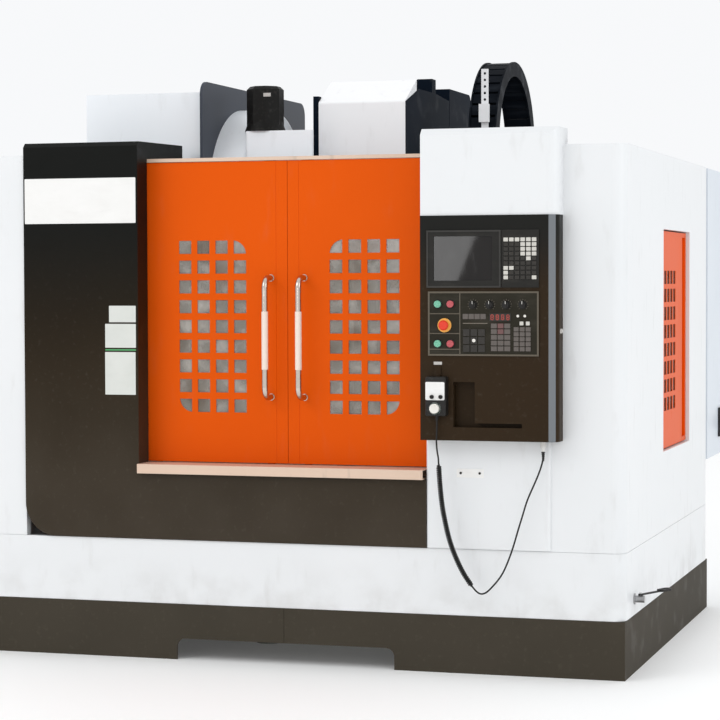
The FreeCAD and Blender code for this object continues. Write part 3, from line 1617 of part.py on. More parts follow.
def build_bed_and_column():
    """Cast bed with its two rails, and the hollow column behind it with two more."""
    x0 = spindle_x - bed_width / 2
    x1 = spindle_x + bed_width / 2
    body = block(x0, x1, bed_front, column_rear, bed_foot_clearance, bed_top)
    core = block(x0 + bed_wall, x1 - bed_wall, bed_front + bed_wall, column_front - bed_wall,
                 bed_foot_clearance - 1, bed_top - bed_deck)
    plinth = block(x0, x1, column_front, column_rear, bed_foot_clearance, column_bottom)
    body = body.cut(core).fuse(plinth)
    rail_length = saddle_depth + 2 * y_travel + 2 * rail_end
    rails = guide_pair(V(spindle_x, spindle_y, 0), rail_offset, rail_length, "y", bed_top)
    left = spindle_x - column_width / 2
    right = spindle_x + column_width / 2
    shaft = block(left, right, column_front, column_rear, column_bottom, column_top)
    hollow = block(left + column_wall, right - column_wall, column_front + column_wall,
                   column_rear - column_wall, column_bottom - 1, column_top - column_roof)
    window_low = column_bottom + column_window_rise
    window = block(spindle_x - column_window_width / 2, spindle_x + column_window_width / 2,
                   column_rear - column_wall - 1, column_rear + 1, window_low,
                   window_low + column_window_height)
    length = 2 * block_spacing_z + block_length + z_travel + 2 * rail_end
    middle = V(spindle_x, 0, head_slide_z - z_travel / 2)
    rails += guide_pair(middle, rail_inner_offset, length, "z", column_front)
    add("bed_and_column", body, shaft.cut([hollow, window]), *(rails + levelling_feet()))


def build_saddle_and_table():
    """Saddle that runs on the bed, and the slotted table that runs on the saddle."""
    half_x = saddle_width / 2
    half_y = saddle_depth / 2
    casting = block(spindle_x - half_x, spindle_x + half_x, spindle_y - half_y, spindle_y + half_y,
                    saddle_bottom, saddle_top)
    middle = V(spindle_x, spindle_y, 0)
    under = carriages(middle, rail_offset, block_spacing_y, "y", bed_rail_top)
    rails = guide_pair(middle, rail_inner_offset, saddle_width, "x", saddle_top)
    motor_top = saddle_top - saddle_motor_drop
    motor = block(spindle_x + half_x, spindle_x + half_x + saddle_motor_length,
                  spindle_y - saddle_motor_width / 2, spindle_y + saddle_motor_width / 2,
                  motor_top - saddle_motor_height, motor_top)
    add("saddle", casting.fuse(under + rails + [motor]))

    x0 = spindle_x - table_length / 2
    x1 = spindle_x + table_length / 2
    half_y = table_width / 2
    plate = block(x0, x1, spindle_y - half_y, spindle_y + half_y, table_bottom, table_top)
    slots = []
    slot_low = table_top - slot_depth
    for index in range(slot_count):
        y = spindle_y + (index - (slot_count - 1) / 2) * slot_pitch
        slots.append(block(x0 - 1, x1 + 1, y - slot_width / 2, y + slot_width / 2, slot_low, table_top + 1))
        slots.append(block(x0 - 1, x1 + 1, y - slot_foot_width / 2, y + slot_foot_width / 2,
                           slot_low, slot_low + slot_foot_height))
    blocks = carriages(middle, rail_inner_offset, block_spacing_x, "x", saddle_top + rail_stand)
    add("table", plate.cut(slots).fuse(blocks))


def build_feed_drives():
    """Ball screws of the Y and Z axes with their servo motors."""
    half = servo_width / 2
    screw_z = bed_top + screw_clearance + screw_radius
    screw_y = bed_front + screw_end
    y_screw = rod(screw_radius, V(spindle_x, screw_y, screw_z), V(spindle_x, column_front, screw_z))
    y_seat = block(spindle_x - half, spindle_x + half, screw_y, screw_y + screw_seat_depth,
                   bed_top, bed_top + screw_seat_height)
    y_motor = block(spindle_x - half, spindle_x + half, bed_front - servo_length, bed_front,
                    bed_top + servo_rise - servo_height, bed_top + servo_rise)
    z_y = column_front - screw_radius - screw_wall_gap
    z_low = head_slide_z - z_travel - block_spacing_z - z_bearing_drop
    z_screw = rod(screw_radius, V(spindle_x, z_y, z_low), V(spindle_x, z_y, column_top))
    z_bearing = block(spindle_x - z_bearing_width / 2, spindle_x + z_bearing_width / 2, z_y - z_bearing_reach,
                      column_front, z_low - z_bearing_height, z_low)
    bridge_top = column_top + z_bearing_height
    z_bridge = block(spindle_x - z_bridge_width / 2, spindle_x + z_bridge_width / 2, z_y - z_bridge_reach,
                     column_front + z_bridge_depth, column_top, bridge_top)
    z_motor = block(spindle_x - half, spindle_x + half, z_y - z_bearing_reach,
                    z_y - z_bearing_reach + servo_width, bridge_top, bridge_top + z_servo_length)
    add("feed_drives", y_screw.fuse(y_seat), y_motor, z_screw.fuse([z_bearing, z_bridge, z_motor]))


def build_head():
    """Spindle head: casting with guide blocks and spindle motor, and the spindle in it."""
    x0 = spindle_x - head_casting_half
    x1 = spindle_x + head_casting_half
    seat = column_front - rail_stand
    back = seat - block_cover
    casting = block(x0, x1, head_casting_front, back, head_casting_bottom, head_casting_top)
    slide_reach = block_spacing_z + block_length / 2
    slide_half = head_half_width - sheet - head_slide_gap
    slide = block(spindle_x - slide_half, spindle_x + slide_half, back - head_slide_depth, back,
                  head_slide_z - slide_reach, head_slide_z + slide_reach)
    blocks = carriages(V(spindle_x, 0, head_slide_z), rail_inner_offset, block_spacing_z, "z", seat)
    motor_y = head_bevel_rear + motor_setback
    motor = block(spindle_x - motor_size / 2, spindle_x + motor_size / 2, motor_y, motor_y + motor_size,
                  head_casting_top, hood_top - motor_head_room)
    bore_end = head_casting_bottom + spindle_length + spindle_end_gap
    bore = rod(spindle_radius + running_clearance, V(spindle_x, spindle_y, head_casting_bottom - 1),
               V(spindle_x, spindle_y, bore_end))
    add("head_casting", casting.fuse([slide, motor] + blocks).cut(bore))

    nose_top = head_casting_bottom - spindle_nose_gap
    nose = rod(spindle_nose_radius, V(spindle_x, spindle_y, nose_z), V(spindle_x, spindle_y, nose_top))
    shaft = rod(spindle_radius, V(spindle_x, spindle_y, nose_top),
                V(spindle_x, spindle_y, head_casting_bottom + spindle_length))
    taper = Part.makeCone(taper_mouth_radius, taper_end_radius, taper_depth, V(spindle_x, spindle_y, nose_z))
    half = spindle_key_width / 2
    keys = []
    for x in (spindle_x - spindle_key_offset, spindle_x + spindle_key_offset):
        keys.append(block(x - half, x + half, spindle_y - half, spindle_y + half,
                          nose_z - spindle_key_height, nose_z + 1))
    add("spindle", nose.fuse([shaft] + keys).cut(taper))


def build_head_hood():
    """Black hood round the head, with a cable channel on its left and a connector box on top."""
    left = spindle_x - head_half_width
    right = spindle_x + head_half_width
    slope_y = head_rear - head_rear_bevel
    rear_top = hood_top - head_rear_fall
    bevel_top = head_top - head_bevel_fall
    wall_y = head_bevel_rear + sheet
    outline = [(head_front, head_bottom), (head_front, head_top - head_shoulder_fall),
               (head_bevel_rear, bevel_top), (head_bevel_rear, head_top), (wall_y, head_top),
               (wall_y, hood_top), (slope_y, hood_top), (head_rear, rear_top), (head_rear, head_bottom)]
    brow = bevel_top - head_brow
    inner = [(head_front - 1, head_bottom - 1), (head_front - 1, head_top + 1),
             (head_bevel_rear, head_top + 1), (head_bevel_rear, brow), (wall_y, brow),
             (wall_y, hood_top - sheet), (slope_y, hood_top - sheet), (head_rear + 1, rear_top - sheet),
             (head_rear + 1, head_bottom - 1)]
    hood = prism_yz(outline, left, right).cut(prism_yz(inner, left + sheet, right - sheet))
    channel_y = head_front + channel_setback
    channel = block(left - channel_width, left, channel_y, channel_y + channel_depth,
                    head_bottom + channel_rise, head_top - channel_fall)
    box_y = head_front + connector_setback
    box = block(right - connector_width, right, box_y, box_y + connector_depth,
                hood_top - sheet, head_top + connector_height)
    box_hollow = block(right - connector_width + sheet, right - sheet, box_y + sheet,
                       box_y + connector_depth - sheet,
                       hood_top - 2 * sheet, head_top + connector_height - sheet)
    ribs = []
    rib_y = head_casting_front + head_rib_setback
    rib_z = head_casting_top - head_rib_drop
    gaps = ((left + sheet, spindle_x - head_casting_half), (spindle_x + head_casting_half, right - sheet))
    for x0, x1 in gaps:
        ribs.append(block(x0, x1, rib_y, rib_y + head_rib_depth, rib_z, rib_z + head_rib_depth))
    add("head_hood", hood.fuse([channel, box] + ribs).cut(box_hollow))


def build_head_covers():
    """White cover on the head, sloped back at its top, and the black cover of the Z drive."""
    x0 = spindle_x - head_half_width + sheet
    x1 = spindle_x + head_half_width - sheet
    low = head_bottom - head_cover_lap
    fold = head_top - head_cover_fall
    rear = head_bevel_rear - head_cover_gap
    outer = prism_yz([(head_front, low), (head_front, fold), (rear, head_top), (rear, head_casting_top),
                      (head_casting_front, head_casting_top), (head_casting_front, low)], x0, x1)
    outer = rounded(outer, head_cover_radius, X_AXIS, lambda point: abs(point.z - fold) < 1)
    inner = prism_yz([(head_front + sheet, low - 1), (head_front + sheet, fold - sheet / 2),
                      (rear + 1, head_top - sheet), (rear + 1, low - 1)], x0 + sheet, x1 - sheet)
    inner = rounded(inner, head_cover_radius - sheet, X_AXIS,
                    lambda point: abs(point.z - fold + sheet / 2) < 1)
    add("head_cover", outer.cut(inner))

    left = spindle_x - head_half_width
    right = spindle_x + head_half_width
    front = head_rear + z_cover_gap
    rear = column_rear - z_cover_rear_gap
    shell = block(left, right, front, rear, column_top, z_cover_top)
    shell = rounded(shell, z_cover_radius, X_AXIS,
                    lambda point: point.y > rear - 1 and point.z > z_cover_top - 1)
    hollow = block(left + sheet, right - sheet, front + sheet, rear - sheet, column_top - 1,
                   z_cover_top - sheet)
    add("z_drive_cover", shell.cut(hollow))


# ---------------------------------------------------------------- tool changer
def magazine_rod(radius, start, end):
    """Round bar on the magazine's axis between two places along X."""
    return rod(radius, V(start, magazine_y, magazine_z), V(end, magazine_y, magazine_z))


def round_rim(drum, radius, x):
    """A drum with the rim of its end at one X rounded."""
    rim = [edge for edge in drum.Edges if abs(edge.CenterOfMass.x - x) < 1 and edge.Length > magazine_radius]
    return drum.makeFillet(radius, rim)


def build_magazine():
    """Side plate on its bracket, round cover, disc with its tool pots, and the roof guard."""
    x1 = magazine_plate_x
    x0 = x1 - magazine_plate_thickness
    plate = block(x0, x1, magazine_plate_front, magazine_plate_rear, magazine_plate_bottom,
                  magazine_plate_top)
    plate = rounded(plate, magazine_plate_radius, X_AXIS, lambda point: point.z > magazine_plate_top - 1)
    bay = magazine_rod(pot_circle + pot_radius + tool_bay_clearance, x0 - 1, x1 + 1)
    column_side = spindle_x - column_width / 2
    bracket_front = column_front + bracket_setback
    bracket_top = magazine_z + bracket_half_height
    bracket = block(x1, column_side, bracket_front, magazine_plate_rear - bracket_rear_gap,
                    magazine_z - bracket_half_height, bracket_top)
    spine = block(cam_left + spine_inset, column_side, cam_rear, bracket_front, magazine_z + spine_rise,
                  bracket_top)
    add("magazine_plate", plate.cut(bay).fuse([bracket, spine]))

    far = x1 + magazine_cover_width
    drum = round_rim(magazine_rod(magazine_radius, x1, far), magazine_edge_radius, far)
    core = magazine_rod(magazine_radius - sheet, x1 - 1, far - sheet)
    core = round_rim(core, magazine_edge_radius - sheet, far - sheet)
    gate_low = magazine_z - magazine_radius - 1
    gate = block(x1 - 1, far - gate_margin, magazine_y - gate_width / 2, magazine_y + gate_width / 2,
                 gate_low, gate_low + gate_height)
    add("magazine_cover", drum.cut([core, gate, magazine_rod(hub_radius + hub_cover_clearance, x1, far + 1)]))

    disc_x = x1 + disc_gap + pot_length
    disc = magazine_rod(disc_radius, disc_x, disc_x + disc_thickness)
    hub = magazine_rod(hub_radius, disc_x, cam_left + hub_seat)
    pots = []
    for index in range(tool_pots):
        angle = 2 * math.pi * index / tool_pots
        y = magazine_y + pot_circle * math.cos(angle)
        z = magazine_z + pot_circle * math.sin(angle)
        pot = rod(pot_radius, V(disc_x - pot_length, y, z), V(disc_x, y, z))
        pots.append(pot.cut(rod(pot_bore_radius, V(disc_x - pot_length - 1, y, z),
                                V(disc_x - pot_floor, y, z))))
    add("magazine_disc", disc.fuse([hub] + pots))

    guard = block(guard_left, x0, guard_front, guard_rear, body_height, guard_top)
    hollow = block(guard_left + sheet, x0 + 1, guard_front + sheet, guard_rear - sheet, body_height - 1,
                   guard_top - sheet)
    foot = block(guard_left, opening_left, guard_front, guard_rear, body_height, body_height + sheet)
    add("magazine_guard", guard.cut([hollow, foot]))


def build_cam_box():
    """Cam box with its wider front plate, and the eight-sided motor on its top."""
    box = block(cam_left, cam_right, cam_front, cam_rear, cam_bottom, cam_top)
    box = rounded(box, cam_corner, Z_AXIS, lambda point: True)
    face = block(cam_left, cam_face_right, cam_front, cam_front + cam_face_depth, cam_bottom, cam_top)
    face = rounded(face, cam_corner, Z_AXIS, lambda point: point.y < cam_front + 1)
    shaft_bore = rod(arm_shaft_radius + running_clearance, V(arm_x, spindle_y, cam_bottom - 1),
                     V(arm_x, spindle_y, cam_bottom + arm_shaft_length + arm_shaft_end_gap))
    hub_bore = magazine_rod(hub_radius + running_clearance, cam_left - 1, cam_left + hub_seat + 1)
    add("cam_box", box.fuse(face).cut([shaft_bore, hub_bore]))

    base = V(cam_motor_x, cam_front + cam_motor_setback, cam_top)
    skirt = Part.makeCone(cam_flange_radius, cam_motor_radius, cam_flange_height, base)
    half_side = math.pi / cam_motor_sides
    corner = V(cam_motor_radius / math.cos(half_side), 0, 0)
    corners = []
    for index in range(cam_motor_sides + 1):
        turn = FreeCAD.Rotation(Z_AXIS, math.degrees(half_side * (2 * index + 1)))
        corners.append(base + turn.multVec(corner))
    body = Part.Face(Part.makePolygon(corners)).extrude(Z_AXIS * cam_motor_height)
    top = cam_top + cam_motor_height
    body = body.makeChamfer(cam_motor_chamfer, [edge for edge in body.Edges if edge.CenterOfMass.z > top - 1])
    add("cam_motor", skirt.fuse(body))


def build_swap_arm():
    """Arm that swaps two tools, with an open claw at each end and its shaft."""
    low = arm_top - arm_thickness
    tip = arm_reach - arm_neck
    bar = block(arm_x - arm_width / 2, arm_x + arm_width / 2, spindle_y - tip, spindle_y + tip, low, arm_top)
    claws = []
    jaws = []
    for side in (-1, 1):
        middle_y = spindle_y + side * arm_reach
        mouth_near = middle_y + side * arm_mouth_setback
        mouth_far = mouth_near + side * arm_mouth_depth
        mouth = block(arm_x - arm_mouth_width / 2, arm_x + arm_mouth_width / 2, min(mouth_near, mouth_far),
                      max(mouth_near, mouth_far), low - 1, arm_top + 1)
        claws.append(rod(arm_claw_radius, V(arm_x, middle_y, low), V(arm_x, middle_y, arm_top)).cut(mouth))
        jaws.append(rod(arm_jaw_radius, V(arm_x, middle_y, low - 1), V(arm_x, middle_y, arm_top + 1)))
    shaft = rod(arm_shaft_radius, V(arm_x, spindle_y, low),
                V(arm_x, spindle_y, cam_bottom + arm_shaft_length))
    add("swap_arm", bar.fuse(claws + [shaft]).cut(jaws))


# ---------------------------------------------------------------- cable chain
def chain_lid(x0, x1, radius, index, link):
    """One lid of the chain; links below 0 stand in the front leg, those past the arch in the rear."""
    lid = block(x0, x1, radius, radius + chain_lid_height, -chain_lid_width / 2, chain_lid_width / 2)
    if index < 0:
        lid.rotate(V(0, 0, 0), Z_AXIS, 180)
        rise = (index + 0.5) * link
    elif index < chain_links:
        lid.rotate(V(0, 0, 0), X_AXIS, 180 - 180 * (index + 0.5) / chain_links)
        rise = 0
    else:
        rise = (chain_links - index - 0.5) * link
    middle = 0 if index >= 0 else x0 + x1
    lid.translate(V(middle, chain_middle_y, chain_centre_z + rise))
    return lid


def build_cable_chain():
    """Cable chain arched in an upright plane on its shelf, and the clip strip at its front."""
    x1 = chain_right
    x0 = x1 - chain_width
    inner_radius = chain_outer_radius - chain_band
    link = math.pi * (chain_outer_radius - chain_band / 2) / chain_links
    leg_low = chain_centre_z - chain_leg_links * link
    leg_front = chain_middle_y - chain_outer_radius
    sides = []
    for x in (x0, x1 - chain_plate):
        start = V(x, chain_middle_y, chain_centre_z)
        ring = rod(chain_outer_radius, start, start + X_AXIS * chain_plate)
        core = rod(inner_radius, start - X_AXIS, start + X_AXIS * (chain_plate + 1))
        half = block(x - 1, x + chain_plate + 1, leg_front - 1, chain_middle_y + chain_outer_radius + 1,
                     chain_centre_z - chain_outer_radius - 1, chain_centre_z)
        sides.append(ring.cut([core, half]))
        for y in (leg_front, chain_middle_y + inner_radius):
            sides.append(block(x, x + chain_plate, y, y + chain_band, leg_low, chain_centre_z))
    lids = []
    lid_radii = (inner_radius + chain_lid_inset, chain_outer_radius - chain_lid_inset - chain_lid_height)
    for index in range(-chain_leg_links, chain_links + chain_leg_links):
        for radius in lid_radii:
            lids.append(chain_lid(x0 + chain_plate / 2, x1 - chain_plate / 2, radius, index, link))
    chain = sides[0].fuse(sides[1:] + lids + clip_strip(x0 + clip_inset, leg_front + chain_lid_inset))

    column_side = spindle_x + column_width / 2
    rear_inner = chain_middle_y + inner_radius
    shelf_low = leg_low - chain_shelf_thickness
    shelf = block(column_side, x1, rear_inner, rear_inner + chain_band, shelf_low, leg_low)
    web = block(column_side, x1 - chain_web_inset, rear_inner + chain_web_inset,
                rear_inner + chain_web_inset + chain_web_thickness, shelf_low - chain_web_height, shelf_low)
    add("cable_chain", chain, shelf.fuse(web))


def clip_strip(x, rear):
    """Drilled upright strip on the front leg of the chain, with the clamp that holds the cables."""
    front = rear - clip_thickness
    top = chain_centre_z + clip_height
    middle = x + clip_width / 2
    strip = block(x, x + clip_width, front, rear, chain_centre_z - clip_foot, top)
    holes = []
    for index in range(clip_hole_count):
        z = top - clip_hole_drop - index * clip_hole_pitch
        holes.append(rod(clip_hole_radius, V(middle, front - 1, z), V(middle, rear + 1, z)))
    clamp_low = chain_centre_z + clamp_rise
    clamp = block(middle - clamp_width / 2, middle + clamp_width / 2, front - clamp_depth, front,
                  clamp_low, clamp_low + clamp_height)
    return [strip.cut(holes), clamp]


# ---------------------------------------------------------------- build, place, write
build_base()
build_covers()
build_front_panel()
build_roof()
build_door_guides()
build_door(-1, "left")
build_door(1, "right")
build_cabinet()
build_console()
build_screen()
build_panel()
build_buttons()
build_pendant()
build_cord()
build_side_door()
build_valve()
build_electrical_cabinet()
build_bed_and_column()
build_saddle_and_table()
build_feed_drives()
build_head()
build_head_hood()
build_head_covers()
build_magazine()
build_cam_box()
build_swap_arm()
build_cable_chain()

footprint = FreeCAD.BoundBox()
for name, shape in parts.items():
    if not name.startswith("cord_"):
        footprint.add(shape.BoundBox)
origin = V(footprint.Center.x, footprint.Center.y, 0)
print("origin", origin, "box", footprint)

os.makedirs("parts", exist_ok=True)
for name, shape in parts.items():
    shape.translate(-origin)
    if not shape.isValid():
        print("not valid:", name)
    shape.exportStep("parts/" + name + ".step")
print(len(parts), "nodes")
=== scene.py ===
import bpy
import bmesh
import json
import math
from mathutils import Matrix, Vector


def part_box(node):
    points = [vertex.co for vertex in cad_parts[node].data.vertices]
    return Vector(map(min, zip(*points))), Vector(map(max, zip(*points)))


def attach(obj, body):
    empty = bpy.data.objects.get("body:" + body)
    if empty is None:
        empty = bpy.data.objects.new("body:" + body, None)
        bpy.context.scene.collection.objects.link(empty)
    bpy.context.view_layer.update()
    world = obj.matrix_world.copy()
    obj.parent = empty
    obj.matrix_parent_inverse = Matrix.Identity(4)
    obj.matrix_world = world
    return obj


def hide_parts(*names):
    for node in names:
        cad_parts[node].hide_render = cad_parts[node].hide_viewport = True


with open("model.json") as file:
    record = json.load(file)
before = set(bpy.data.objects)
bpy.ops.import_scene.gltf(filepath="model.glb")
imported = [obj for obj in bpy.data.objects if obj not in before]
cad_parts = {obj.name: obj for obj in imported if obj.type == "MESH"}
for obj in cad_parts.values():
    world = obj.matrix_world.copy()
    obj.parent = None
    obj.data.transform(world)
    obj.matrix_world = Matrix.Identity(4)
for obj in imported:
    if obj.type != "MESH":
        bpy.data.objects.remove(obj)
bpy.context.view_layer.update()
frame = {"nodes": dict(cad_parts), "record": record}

MM = 0.001
HALF_WIDTH = 1.42
BASE_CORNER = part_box("base_skirt")[0]
TO_OPERATOR = (0, -1, 0)
UP = (0, 0, 1)
DOWN = (0, 0, -1)
REARWARD = (0, 1, 0)


def at(x, y, z):
    """A point given in metres from the middle of the base's front edge."""
    return BASE_CORNER + Vector((x + HALF_WIDTH, y, z))


# ---------------------------------------------------------------- camera
LENS = 113.75
SENSOR = 36.0
NEAREST = 0.1
FURTHEST = 200.0
CAMERA_PLACE = (3.0632, -8.8191, 1.579)
CAMERA_TURN = 17.2097
CAMERA_TILT = 88.0148
CAMERA_ROLL = -0.1772


def build_camera():
    """Camera in front of the machine, a little to its right."""
    data = bpy.data.cameras.new("camera")
    data.lens = LENS
    data.sensor_width = SENSOR
    data.clip_start = NEAREST
    data.clip_end = FURTHEST
    camera = bpy.data.objects.new("camera", data)
    bpy.context.scene.collection.objects.link(camera)
    turn = (Matrix.Rotation(math.radians(CAMERA_TURN), 4, "Z")
            @ Matrix.Rotation(math.radians(CAMERA_TILT), 4, "X")
            @ Matrix.Rotation(math.radians(CAMERA_ROLL), 4, "Z"))
    camera.matrix_world = Matrix.Translation(at(*CAMERA_PLACE)) @ turn
    bpy.context.scene.camera = camera


# ---------------------------------------------------------------- finishes
def ink(hue, alpha=1.0):
    """A colour as it looks on a screen, as the light values that a shader takes."""
    parts = [int(hue[place:place + 2], 16) / 255 for place in (0, 2, 4)]
    linear = [part / 12.92 if part < 0.04045 else ((part + 0.055) / 1.055) ** 2.4 for part in parts]
    return (*linear, alpha)


class Value:
    """A number that varies over a surface. Sums of it are written as Python expressions."""

    def __init__(self, finish, socket):
        self.finish = finish
        self.socket = socket

    def sum(self, operation, first, second):
        return self.finish.node("ShaderNodeMath", {"operation": operation}, {0: first, 1: second})

    def __add__(self, other):
        return self.sum("ADD", self, other)

    def __sub__(self, other):
        return self.sum("SUBTRACT", self, other)

    def __rsub__(self, other):
        return self.sum("SUBTRACT", other, self)

    def __mul__(self, other):
        return self.sum("MULTIPLY", self, other)

    def __lt__(self, other):
        return self.sum("LESS_THAN", self, other)

    def __gt__(self, other):
        return self.sum("GREATER_THAN", self, other)

    __radd__ = __add__
    __rmul__ = __mul__


EVEN = (1, 1, 1)
UPRIGHT = (1, 1, 0.25)
BRUSHED = (1, 1, 0.02)
WIPED_UPRIGHT = (1, 1, 0.3)
WIPED_ACROSS = (0.3, 1, 1)
RUBBED_ACROSS = (0.2, 1, 1)
SCRATCHED_ACROSS = (0.08, 1, 1)


class Finish:
    """A material and the nodes that give it its look."""

    def __init__(self, name):
        self.material = bpy.data.materials.new(name)
        self.material.use_nodes = True
        self.tree = self.material.node_tree
        self.tree.nodes.clear()
        self.place = self.node("ShaderNodeTexCoord", output="Object")

    def node(self, kind, settings=(), inputs=(), output=0):
        """Adds a node, sets it, feeds its sockets and hands back one of its outputs."""
        made = self.tree.nodes.new(kind)
        for name, value in dict(settings).items():
            setattr(made, name, value)
        for name, value in dict(inputs).items():
            if isinstance(value, Value):
                self.tree.links.new(value.socket, made.inputs[name])
            else:
                made.inputs[name].default_value = value
        return Value(self, made.outputs[output] if made.outputs else None)

    def axis(self, name):
        """The place on the machine along X, Y or Z, in metres."""
        return self.node("ShaderNodeSeparateXYZ", inputs={0: self.place}, output=name)

    def strip(self, left, right, front):
        """1 on what lies between two places across the machine and further forward than a third, else 0."""
        x = self.axis("X")
        across = (x > at(left, 0, 0).x) * (x < at(right, 0, 0).x)
        return across * (self.axis("Y") < at(0, front, 0).y)

    def patches(self, size, detail=2.0, stretch=EVEN):
        """Soft uneven patches of about one size in metres, from 0 to 1. A small stretch draws them out."""
        place = self.node("ShaderNodeMapping", inputs={"Vector": self.place, "Scale": stretch})
        return self.node("ShaderNodeTexNoise", inputs={"Vector": place, "Scale": 1 / size, "Detail": detail})

    def grown(self, value, low, high):
        """0 below low, 1 above high and smooth between."""
        return self.node("ShaderNodeMapRange", {"interpolation_type": "SMOOTHSTEP"},
                         {"Value": value, "From Min": low, "From Max": high})

    def spots(self, size, detail, low, high, stretch=EVEN):
        """Separate spots: the part of some patches that reaches over low, full from high on."""
        return self.grown(self.patches(size, detail, stretch), low, high)

    def mixed(self, share, first, second):
        """One colour over another."""
        return self.node("ShaderNodeMix", {"data_type": "RGBA"}, {0: share, 6: first, 7: second}, 2)

    def relief(self, height, depth, over=None):
        """Height from 0 to 1 as real relief, depth in metres, on top of another relief."""
        feeds = {"Height": height, "Distance": depth, "Strength": 1.0}
        if over is not None:
            feeds["Normal"] = over
        return self.node("ShaderNodeBump", inputs=feeds)

    def shown(self, **sockets):
        """Ends the finish in its shader, and hands back the material."""
        named = {name.replace("_", " "): value for name, value in sockets.items()}
        shader = self.node("ShaderNodeBsdfPrincipled", inputs=named)
        self.node("ShaderNodeOutputMaterial", inputs={"Surface": shader})
        return self.material


DUST = ink("8f877c")
PLATING = ink("d8d6d2")
OIL = ink("6d685c")
TOOL_MARK = ink("6a6a6b")
COOLANT_STAIN = ink("5d564b")

# heights between which a finish changes, in metres
FLOOR_DIRT = (0.02, 0.5)
# dust and painted reflection: a lighter film that fades out between these heights
DUST_AND_REFLECTION_HEIGHTS = (0.45, 1.5)
# painted reflection: the black panel paint turns darker between these heights
PAINTED_REFLECTION_HEIGHTS = (1.15, 1.9)
# painted reflection: the console paint turns darker between these heights
CONSOLE_REFLECTION_HEIGHTS = (1.5, 1.8)

# details that are painted, in metres as at() takes them
# painted highlight: a light grey band down the console's rounded right corner
CORNER_HIGHLIGHT = (1.134, 1.160, -0.066)
GLAND_TOP = 0.9445
ISOLATOR_SEAT_LEFT = 1.4205
ISOLATOR_SEAT_REAR = 2.64
CHAIN_STRIP = (0.5725, 0.6055, 1.0655)
CHAIN_CLAMP = (0.566, 0.612, 1.0601)
FILM_RIM_FRONT = -0.0996


def sheet_relief(paint):
    """Sheet metal that isn't quite flat, under orange peel."""
    normal = paint.relief(paint.patches(size=0.6, detail=1), depth=0.0008)
    return paint.relief(paint.patches(size=0.0035, detail=1), depth=0.00003, over=normal)


def sprayed_sheet(name, hue, deep, gloss, dust=0.35, rub=0.12, bend=1.5):
    """Sprayed sheet metal with dust low down and rubbed patches."""
    paint = Finish(name)
    low_down = 1 - paint.grown(paint.axis("Z"), *FLOOR_DIRT)
    grime = low_down * paint.spots(size=0.13, detail=5, low=0.4, high=0.72)
    rubbed = paint.spots(size=0.05, detail=6, low=0.58, high=0.8, stretch=UPRIGHT)
    tone = paint.patches(size=0.45, detail=3)
    colour = paint.mixed(tone, deep, hue)
    colour = paint.mixed(rubbed * rub, colour, DUST)
    colour = paint.mixed(grime * dust, colour, DUST)
    return paint.shown(Base_Color=colour, Roughness=gloss + 0.1 * rubbed + 0.3 * grime + 0.06 * tone,
                       Normal=sheet_relief(paint), IOR=bend)


def wrinkled(paint, hue, deep):
    """Colour, roughness and normal of a semi-matt paint with a fine wrinkle, dust and hand marks."""
    wrinkle = paint.patches(size=0.0016, detail=3)
    hands = paint.spots(size=0.11, detail=6, low=0.5, high=0.75)
    settled = paint.spots(size=0.02, detail=8, low=0.55, high=0.85)
    colour = paint.mixed(paint.patches(size=0.6, detail=2), deep, hue)
    colour = paint.mixed(settled * 0.08, colour, DUST)
    colour = paint.mixed(wrinkle * 0.25, colour, deep)
    normal = paint.relief(paint.patches(size=0.7, detail=1), depth=0.0012)
    normal = paint.relief(wrinkle, depth=0.00006, over=normal)
    return colour, 0.1 * settled - 0.12 * hands, normal


def textured_paint(name, hue, deep, gloss=0.42, dust_and_reflection=0.0, bend=1.22, reflected_dark_top=None):
    """Semi-matt paint with a fine wrinkle, darker high up as a painted reflection, with dust and painted
    reflection that thicken towards the floor.
    """
    paint = Finish(name)
    colour, marks, normal = wrinkled(paint, hue, deep)
    # painted reflection: darker and more neutral high up
    if reflected_dark_top:
        colour = paint.mixed(paint.grown(paint.axis("Z"), *PAINTED_REFLECTION_HEIGHTS), colour, reflected_dark_top)
    # dust and painted reflection: a lighter film that thickens towards the floor
    if dust_and_reflection:
        height = paint.axis("Z")
        film = (1 - paint.grown(height, *DUST_AND_REFLECTION_HEIGHTS)) * (0.5 + paint.patches(size=0.3, detail=4))
        colour = paint.mixed(film * dust_and_reflection, colour, DUST)
    return paint.shown(Base_Color=colour, Roughness=gloss + marks, Normal=normal, IOR=bend)


def console_paint(name, hue, deep, top, edge):
    """The console's wrinkle paint, darker at the top as a painted reflection, with a painted highlight as a
    light band down its right corner, and a plated cord gland.
    """
    paint = Finish(name)
    colour, marks, normal = wrinkled(paint, hue, deep)
    height = paint.axis("Z")
    # painted reflection: darker at the top
    colour = paint.mixed(paint.grown(height, *CONSOLE_REFLECTION_HEIGHTS), colour, top)
    # painted highlight down the rounded right corner
    colour = paint.mixed(paint.strip(*CORNER_HIGHLIGHT), colour, edge)
    colour = paint.mixed(height < at(0, 0, GLAND_TOP).z, colour, PLATING)
    return paint.shown(Base_Color=colour, Roughness=0.42 + marks, Normal=normal, IOR=1.16)


def cabinet_body(name, hue, deep, seat_hue):
    """The electrical cabinet's grey enamel, with the black seat of the isolator on its right side."""
    paint = Finish(name)
    rubbed = paint.spots(size=0.05, detail=6, low=0.58, high=0.8, stretch=UPRIGHT)
    beside = paint.axis("X") > at(ISOLATOR_SEAT_LEFT, 0, 0).x
    seat = beside * (paint.axis("Y") < at(0, ISOLATOR_SEAT_REAR, 0).y)
    colour = paint.mixed(paint.patches(size=0.45, detail=3), deep, hue)
    colour = paint.mixed(rubbed * 0.1, colour, DUST)
    colour = paint.mixed(seat, colour, seat_hue)
    return paint.shown(Base_Color=colour, Roughness=0.36 + 0.1 * rubbed, Normal=sheet_relief(paint),
                       IOR=1.45)


